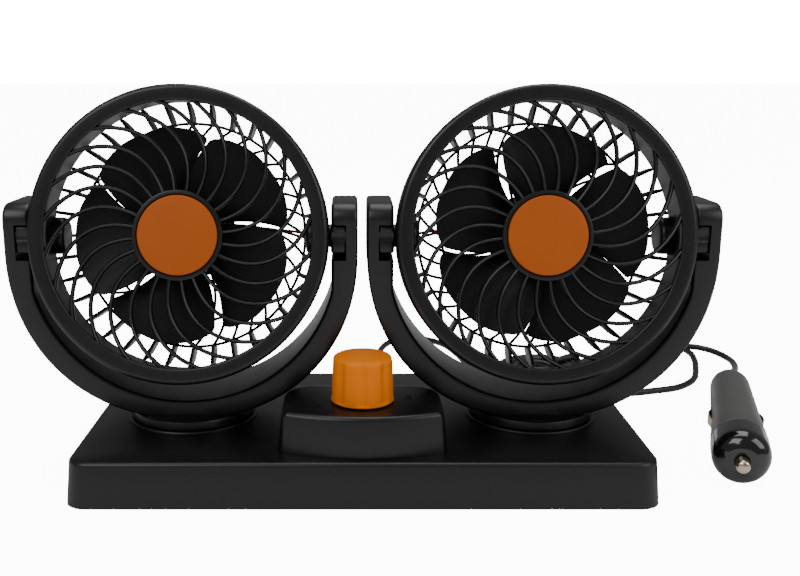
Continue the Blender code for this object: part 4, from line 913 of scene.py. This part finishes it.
for sign in (-1, 1):
    pieces.append(soften(rod(trunnion_radius, (sign * rim, 0, 0), (sign * trunnion_end, 0, 0), 48),
                         trunnion_edge))
    pieces.append(soften(rod(trunnion_boss_radius, (sign * boss_start, 0, 0), (sign * band_outer, 0, 0), 48),
                         trunnion_boss_edge, 5))
on_both_heads(join_all(pieces), "basket", black_plastic, "rear_cover", head_place, "_head")
dress(steel, "left_motor", "right_motor", "left_motor_shaft", "right_motor_shaft")


# Fan wheel
# Five broad swept blades round a hub cup, moulded in one piece in black plastic. A socket in the cup's
# middle is pushed on the motor's shaft.

wheel_back = 0.0032
wheel_front = 0.0156
wheel_hub_radius = 0.0140
wheel_wall = 0.0014
wheel_edge = 0.0014
wheel_edge_inset = 0.0004
socket_radius = 0.0030
socket_bore = 0.0013
socket_back = 0.0046
blades = 5
blade_tip_radius = 0.0412
blade_thickness = 0.0011
blade_root = (0.0040, 0.0146)
blade_tip = (0.0050, 0.0130)
blade_angle = math.radians(68.5)
blade_sweep = math.radians(-18)
blade_camber = 0.0012
blade_rows_to_tip = 1.7         # over 1 sets the rows closer together towards the tip
tip_round = 0.16
tip_fullness = 0.92
blade_phase = {"left": math.radians(54), "right": math.radians(24)}
blade_plastic = moulded_plastic("blade_plastic", (0.0012, 0.0013, 0.0016), (0.0024, 0.0025, 0.0029), 0.46,
                                1800, 0.06, specular=0.28)
wheel_floor = wheel_front - wheel_wall
wheel_bore = wheel_hub_radius - wheel_wall
wheel = turned_piece([(0, wheel_front), (wheel_hub_radius - wheel_edge, wheel_front),
                      (wheel_hub_radius - wheel_edge_inset, wheel_front - wheel_edge_inset),
                      (wheel_hub_radius, wheel_front - wheel_edge), (wheel_hub_radius, wheel_back),
                      (wheel_bore, wheel_back), (wheel_bore, wheel_floor), (socket_radius, wheel_floor),
                      (socket_radius, socket_back), (socket_bore, socket_back), (socket_bore, wheel_floor),
                      (0, wheel_floor)], 96)


def turn_faces_out(piece):
    """Recalculates which way the faces of a thickened sheet point."""
    select_only(piece)
    bpy.ops.object.mode_set(mode="EDIT")
    end_shaping()


deselect_all()
bpy.ops.mesh.primitive_grid_add(x_subdivisions=14, y_subdivisions=18, size=1, location=(0, 0, 0))
blade = bpy.context.object
blade_start = wheel_hub_radius - wheel_wall / 2
for vert in blade.data.vertices:
    along = vert.co.x + 0.5
    share = vert.co.y + 0.5
    share = 1 - (1 - share) ** blade_rows_to_tip
    tip_share = max(0, (share - 1 + tip_round) / tip_round)
    trim = 0.5 * (1 - math.sqrt(max(0, 1 - (tip_fullness * tip_share) ** 2)))
    along = trim + (1 - 2 * trim) * along
    radius = blade_start + (blade_tip_radius - blade_start) * share
    turn = blade_sweep * share + blade_angle * (along - 0.5)
    low = blade_root[0] + (blade_tip[0] - blade_root[0]) * share
    high = blade_root[1] + (blade_tip[1] - blade_root[1]) * share
    height = low + (high - low) * along - blade_camber * 4 * along * (1 - along)
    vert.co = (radius * math.cos(turn), radius * math.sin(turn), height)
apply_modifier(blade, "SOLIDIFY", thickness=blade_thickness, offset=0)
turn_faces_out(blade)
fan_place = {side: head_place[side] @ Matrix.Rotation(blade_phase[side], 4, "Z") for side in sides_x}
wheel = join_all([wheel, all_round(blade, blades)])
on_both_heads(wheel, "wheel", blade_plastic, "impeller", fan_place, "_rotor", angle=50)


# Motor leads
# Two thin wires with red and brown insulation run from each motor to the inner trunnion, on the side of
# the base's middle. They are twisted loosely round each other.

wire_diameter = 0.0011
wire_depth = 0.0095
wire_sway = 0.75
wire_twist = 0.75
red_wire = moulded_plastic("red_wire", (0.26, 0.012, 0.008), (0.32, 0.020, 0.012), 0.42, 900, 0.1)
brown_wire = moulded_plastic("brown_wire", (0.055, 0.016, 0.008), (0.075, 0.024, 0.012), 0.42, 900, 0.1)
wire_start = cup_radius + fit_gap
wire_end = boss_start - fit_gap
for side, inward in (("left", 1), ("right", -1)):
    for name, paint, sign, nodes in (("red", red_wire, 1, [side + "_motor_lead"]),
                                     ("brown", brown_wire, -1, [])):
        path = []
        for step in range(25):
            share = step / 24
            bend = share * share * (3 - 2 * share)
            sway = sign * wire_diameter * wire_sway * math.cos(math.tau * share * wire_twist)
            drop = sign * wire_diameter * wire_sway * math.sin(math.tau * share * wire_twist)
            path.append((inward * (wire_start + (wire_end - wire_start) * share),
                         trunnion_radius / 2 * math.sin(math.pi * share) + drop,
                         -wire_depth * (1 - bend) + sway))
        wire = bar_along(path, wire_diameter, wire_diameter)
        finish_piece(wire, side + "_wire_" + name, paint, side + "_head", nodes, head_place[side])


# Plug
# A 12 V plug lies beside the base: a moulded grip in dark plastic, a glossy nose screwed on it, a sprung
# centre pin, and two sprung side contacts of nickel-plated brass in slots.

plug_nose_face = Vector((0.1410, -0.0351, 0.0110))
plug_heading = math.radians(72.4)
plug_rise = math.radians(2.0)
plug_body_length = 0.0940
plug_radius = 0.0108
plug_tail_radius = 0.0084
plug_face_radius = 0.0060
plug_face_edge = (0.0004, 0.0002)
nose_outline = ((0.72, 0.0008), (0.86, 0.0020), (0.95, 0.0038), (0.99, 0.0054), (1, 0.0068))
nose_edge = 0.0006
plug_nose_length = 0.0165
grip_edge = (0.0009, 0.0006)
grip_collar = (0.0060, 0.0064, 0.0070)      # ends of its plain collar, of the step and of the neck behind it
grip_step = 0.0003
plug_shoulder = 0.0090
plug_neck_radius = 0.0026
plug_neck_length = 0.0040
plug_neck_edge = 0.0004
cord_bore_radius = 0.0018
spring_room_radius = 0.0042
spring_room_length = 0.0400
pin_radius = 0.0026
pin_reach = 0.0060
pin_dome = 0.6
pin_flange_radius = 0.0037
pin_flange_thickness = 0.0030
contact_place = 0.0330
contact_length = 0.0180
contact_width = 0.0040
contact_thickness = 0.0006
contact_edge = 0.00012
contact_rise = 0.0020
contact_seat = 2.7              # how many of its thicknesses a contact's ends lie under the skin
slot_depth = 0.0036
gloss_black = moulded_plastic("gloss_black", (0.0040, 0.0040, 0.0043), (0.0060, 0.0060, 0.0064), 0.14, 700,
                              0.02, coat=0.6)
plug_plastic = moulded_plastic("plug_plastic", (0.0680, 0.0685, 0.0640), (0.0800, 0.0805, 0.0760), 0.36)
nickel_brass = moulded_plastic("nickel_brass", (0.56, 0.46, 0.34), (0.66, 0.58, 0.46), 0.24, 1500, 0.06,
                               metallic=1)
plug_along = Vector((math.cos(plug_heading) * math.cos(plug_rise),
                     math.sin(plug_heading) * math.cos(plug_rise), math.sin(plug_rise)))
plug_across = Vector((0, 0, 1)).cross(plug_along).normalized()
plug_turn = Matrix((plug_across, plug_along.cross(plug_across), plug_along)).transposed().to_4x4()
plug_place = Matrix.Translation(plug_nose_face) @ plug_turn
pin_bore = pin_radius + fit_gap
profile = [(pin_bore, 0), (plug_face_radius - plug_face_edge[0], 0), (plug_face_radius, plug_face_edge[1])]
profile += [(plug_radius * share, height) for share, height in nose_outline]
profile += [(plug_radius, plug_nose_length - nose_edge), (plug_radius - nose_edge, plug_nose_length),
            (pin_bore, plug_nose_length)]
finish_piece(turned_piece(profile, 96, closed=True), "nose_ring", gloss_black, "base",
             ["plug_nose"], plug_place)
grip_low = plug_nose_length + fit_gap
grip_radius = plug_radius - fit_gap
taper_low = grip_low + grip_collar[2]
shoulder = plug_body_length - plug_neck_length - plug_shoulder
spring_room_end = plug_nose_length + spring_room_length
profile = [(cord_bore_radius, plug_body_length), (cord_bore_radius, spring_room_end),
           (spring_room_radius, spring_room_end), (spring_room_radius, grip_low),
           (grip_radius - grip_edge[0], grip_low), (grip_radius, grip_low + grip_edge[1]),
           (grip_radius, grip_low + grip_collar[0]), (grip_radius - grip_step, grip_low + grip_collar[1])]
profile += straight((grip_radius - grip_step, taper_low), (plug_tail_radius, shoulder), 8)
profile += quarter_round((plug_tail_radius, shoulder), (plug_neck_radius, shoulder + plug_shoulder), 12)[1:]
profile += [(plug_neck_radius, plug_body_length - plug_neck_edge),
            (plug_neck_radius - plug_neck_edge, plug_body_length)]
grip = turned_piece(profile, 96, closed=True)
contact_end = contact_place + contact_length
taper_share = (contact_end - grip_low) / (shoulder - grip_low)
grip_skin = plug_radius + (plug_tail_radius - plug_radius) * taper_share
half_slot = contact_width / 2 + fit_gap
for sign, name in ((-1, "right"), (1, "left")):
    slot = side_block(sign, (grip_skin - slot_depth, -half_slot, contact_place - fit_gap),
                      (plug_radius + sink, half_slot, contact_end + fit_gap))
    combine(grip, slot, "DIFFERENCE")
    deselect_all()
    bpy.ops.mesh.primitive_grid_add(x_subdivisions=4, y_subdivisions=24, size=1)
    leaf = bpy.context.object
    for vert in leaf.data.vertices:
        share = vert.co.y + 0.5
        bow = (contact_rise + contact_thickness) * math.sin(math.pi * share)
        vert.co = (sign * (grip_skin - contact_thickness * contact_seat + bow), vert.co.x * contact_width,
                   contact_place + contact_length * share)
    apply_modifier(leaf, "SOLIDIFY", thickness=contact_thickness, offset=0)
    soften(leaf, contact_edge, 2)
    turn_faces_out(leaf)
    finish_piece(leaf, "leaf_" + name, nickel_brass, "plug_contact_" + name + "_body",
                 ["plug_contact_" + name], plug_place)
finish_piece(grip, "grip", plug_plastic, "base", ["plug_body"], plug_place)
flange_low = plug_nose_length + 2 * fit_gap
flange_high = flange_low + pin_flange_thickness
dome = quarter_round((pin_radius, -pin_reach + pin_radius * pin_dome), (0, -pin_reach), 8)[:-1]
profile = [(0, -pin_reach)] + dome[::-1]
profile += [(pin_radius, flange_low), (pin_flange_radius, flange_low), (pin_flange_radius, flange_high),
            (0, flange_high)]
finish_piece(turned_piece(profile, 64), "centre_pin", nickel_brass, "plug_pin_body",
             ["plug_pin"], plug_place)
dress(steel, "plug_fuse")


# Cord
# A two-core round lead in soft black vinyl. It leaves the base through a rubber bush, its spare length is
# wound in a flat two-layer coil under a tie behind the right fan, and it ends inside the plug's grip.

cord_diameter = 0.0032
cord_lift = 0.0001
seat_gap = 0.0003
bush_end = Vector((cord_exit_x, 0.064995, cord_exit_height))
coil_centre = (0.0918, 0.0950)
coil_inner_radius = 0.0125
coil_pitch = 0.0038
coil_layer_pitch = 0.0038
coil_turns = 5.25
coil_climb_turns = 0.5
coil_points_per_turn = 24
tie_thickness = 0.0008
cord_end = 0.0562               # how far from the plug's nose the cord ends in the grip
lead_route = [
    (0.0042, 0.0730, 0.0060), (0.0055, 0.0930, 0.0010), (0.0085, 0.1230, 0.0000), (0.0140, 0.1535, 0.0000),
    (0.0230, 0.1675, 0.0000), (0.0360, 0.1695, 0.0000), (0.0475, 0.1575, 0.0000), (0.0530, 0.1385, 0.0004),
    (0.0570, 0.1185, 0.0010),
]
tail_route = [
    (0.1120, 0.0660, 0.0020), (0.1270, 0.0710, 0.0000), (0.1435, 0.0755, 0.0000), (0.1565, 0.0810, 0.0000),
    (0.1675, 0.0930, 0.0000), (0.1745, 0.1100, 0.0000), (0.1800, 0.1285, 0.0000), (0.1815, 0.1435, 0.0000),
    (0.1760, 0.1575, 0.0000), (0.1635, 0.1625, 0.0000), (0.1540, 0.1545, 0.0002), (0.1565, 0.1435, 0.0018),
    (0.1665, 0.1385, 0.0036), (0.1805, 0.1375, 0.0044), (0.1900, 0.1325, 0.0036), (0.1945, 0.1205, 0.0030),
    (0.1925, 0.1060, 0.0040), (0.1870, 0.0910, 0.0060), (0.1805, 0.0770, 0.0090),
]


def over_ground(x, y, lift):
    """The cord's middle where it lies this much over the ground."""
    return Vector((x, y, lift + cord_diameter / 2 + cord_lift))


def coil_spot(turn):
    """The coil's middle line: in on the lower layer, out again on the upper one."""
    radius = coil_inner_radius + coil_pitch * abs(turn - coil_turns / 2)
    angle = math.pi + math.tau * turn
    climb = max(0, min(1, (turn - coil_turns / 2 + coil_climb_turns / 2) / coil_climb_turns))
    lift = tie_thickness + seat_gap + coil_layer_pitch * climb * climb * (3 - 2 * climb)
    return over_ground(coil_centre[0] + radius * math.cos(angle), coil_centre[1] + radius * math.sin(angle),
                       lift)


def flowing(points, pieces):
    """Points on one smooth curve through the route."""
    ends = [points[0] * 2 - points[1]] + points + [points[-1] * 2 - points[-2]]
    fine = []
    for p0, p1, p2, p3 in zip(ends, ends[1:], ends[2:], ends[3:]):
        for index in range(pieces):
            t = index / pieces
            fine.append((p1 * 2 + (p2 - p0) * t + (p0 * 2 - p1 * 5 + p2 * 4 - p3) * t ** 2
                         + (p1 * 3 - p0 - p2 * 3 + p3) * t ** 3) / 2)
    return fine + [points[-1]]


backwards = Vector((0, cord_diameter, 0))
sideways = Vector((cord_diameter, 0, 0))
cord_start = bush_end + Vector((0, seat_gap, 0))
count = round(coil_turns * coil_points_per_turn * 2)
coil_line = [coil_spot(coil_turns * index / count) for index in range(count + 1)]
coil_entry = coil_line[0] + backwards
coil_leave = coil_line[-1] + sideways
plug_tail = plug_nose_face + plug_along * (plug_body_length + seat_gap)
lead_line = flowing([cord_start + backwards] + [over_ground(*spot) for spot in lead_route]
                    + [coil_entry + backwards], 5)
tail_line = flowing([coil_leave + sideways] + [over_ground(*spot) for spot in tail_route]
                    + [plug_tail + plug_along * cord_diameter], 5)
inward = plug_nose_face + plug_along * cord_end - plug_tail
inside_plug = [plug_tail + inward * step / 12 for step in range(1, 13)]
cord_line = ([cord_start] + lead_line + [coil_entry] + coil_line + [coil_leave] + tail_line + [plug_tail]
             + inside_plug)

cord = drawn_curve("cord", cord_line)
cord.data.bevel_depth = cord_diameter / 2
cord.data.bevel_resolution = 5
cord.data.splines[0].use_smooth = True
cord_sheath = moulded_plastic("cord_sheath", (0.0060, 0.0060, 0.0063), (0.0100, 0.0100, 0.0105), 0.38, 1000,
                              0.1)
cord.data.materials.append(cord_sheath)
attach(cord, "base")
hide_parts("cord_lead", "cord_coil", "cord_tail")


# Cord bush and tie
# A tapered bush of soft rubber holds the cord where it leaves the back wall. A strap of dark plastic round
# the coil holds its turns together.

dress(rubber, "cord_bush")
dress(dark_plastic, "cord_tie")


# Floor and light
# The fan stands on a plain white floor in a white room, and both glow for the camera alone. Large soft
# lamps light it from the front on both sides and from above.

floor_size = 24
floor_roughness = 0.8
floor_tints = ((0.88, 0.88, 0.88, 1), (0.91, 0.91, 0.91, 1))
floor_cloud_scale = 3
floor_cloud_detail = 2
floor_glow = 12.0
room_glow = 20
room_light = 0.22
white = (1, 1, 1, 1)
lamp_aim = Vector((0, 0, 0.05))
deselect_all()
bpy.ops.mesh.primitive_plane_add(size=floor_size, location=(0, 0, 0))
floor = bpy.context.object
floor.name = "floor"
floor_paint = bpy.data.materials.new("floor_paint")
floor_paint.use_nodes = True
tree = floor_paint.node_tree
shader = tree.nodes["Principled BSDF"]
shader.inputs["Roughness"].default_value = floor_roughness
shader.inputs["Emission Color"].default_value = white
clouds = noise(tree, floor_cloud_scale, floor_cloud_detail)
feed(tree, shader.inputs["Base Color"], mixed_colour(tree, clouds, *floor_tints))
seen = tree.nodes.new("ShaderNodeLightPath").outputs["Is Camera Ray"]
feed(tree, shader.inputs["Emission Strength"], maths(tree, "MULTIPLY", seen, floor_glow))
floor.data.materials.append(floor_paint)

world = bpy.data.worlds.new("white_room")
bpy.context.scene.world = world
world.use_nodes = True
tree = world.node_tree
room = tree.nodes["Background"]
room.inputs["Color"].default_value = white
seen = tree.nodes.new("ShaderNodeLightPath").outputs["Is Camera Ray"]
feed(tree, room.inputs["Strength"], maths(tree, "MULTIPLY_ADD", seen, room_glow, room_light))

for name, place, size, power in (("key", (-0.7, -0.9, 1.1), 0.9, 9), ("fill", (0.9, -0.6, 0.7), 0.8, 5),
                                 ("top", (0.1, 0.3, 1.4), 1.0, 10)):
    lamp_data = bpy.data.lights.new(name, "AREA")
    lamp_data.size = size
    lamp_data.energy = power
    lamp = bpy.data.objects.new(name, lamp_data)
    lamp.location = place
    lamp.rotation_euler = (lamp_aim - Vector(place)).to_track_quat("-Z", "Y").to_euler()
    bpy.context.collection.objects.link(lamp)
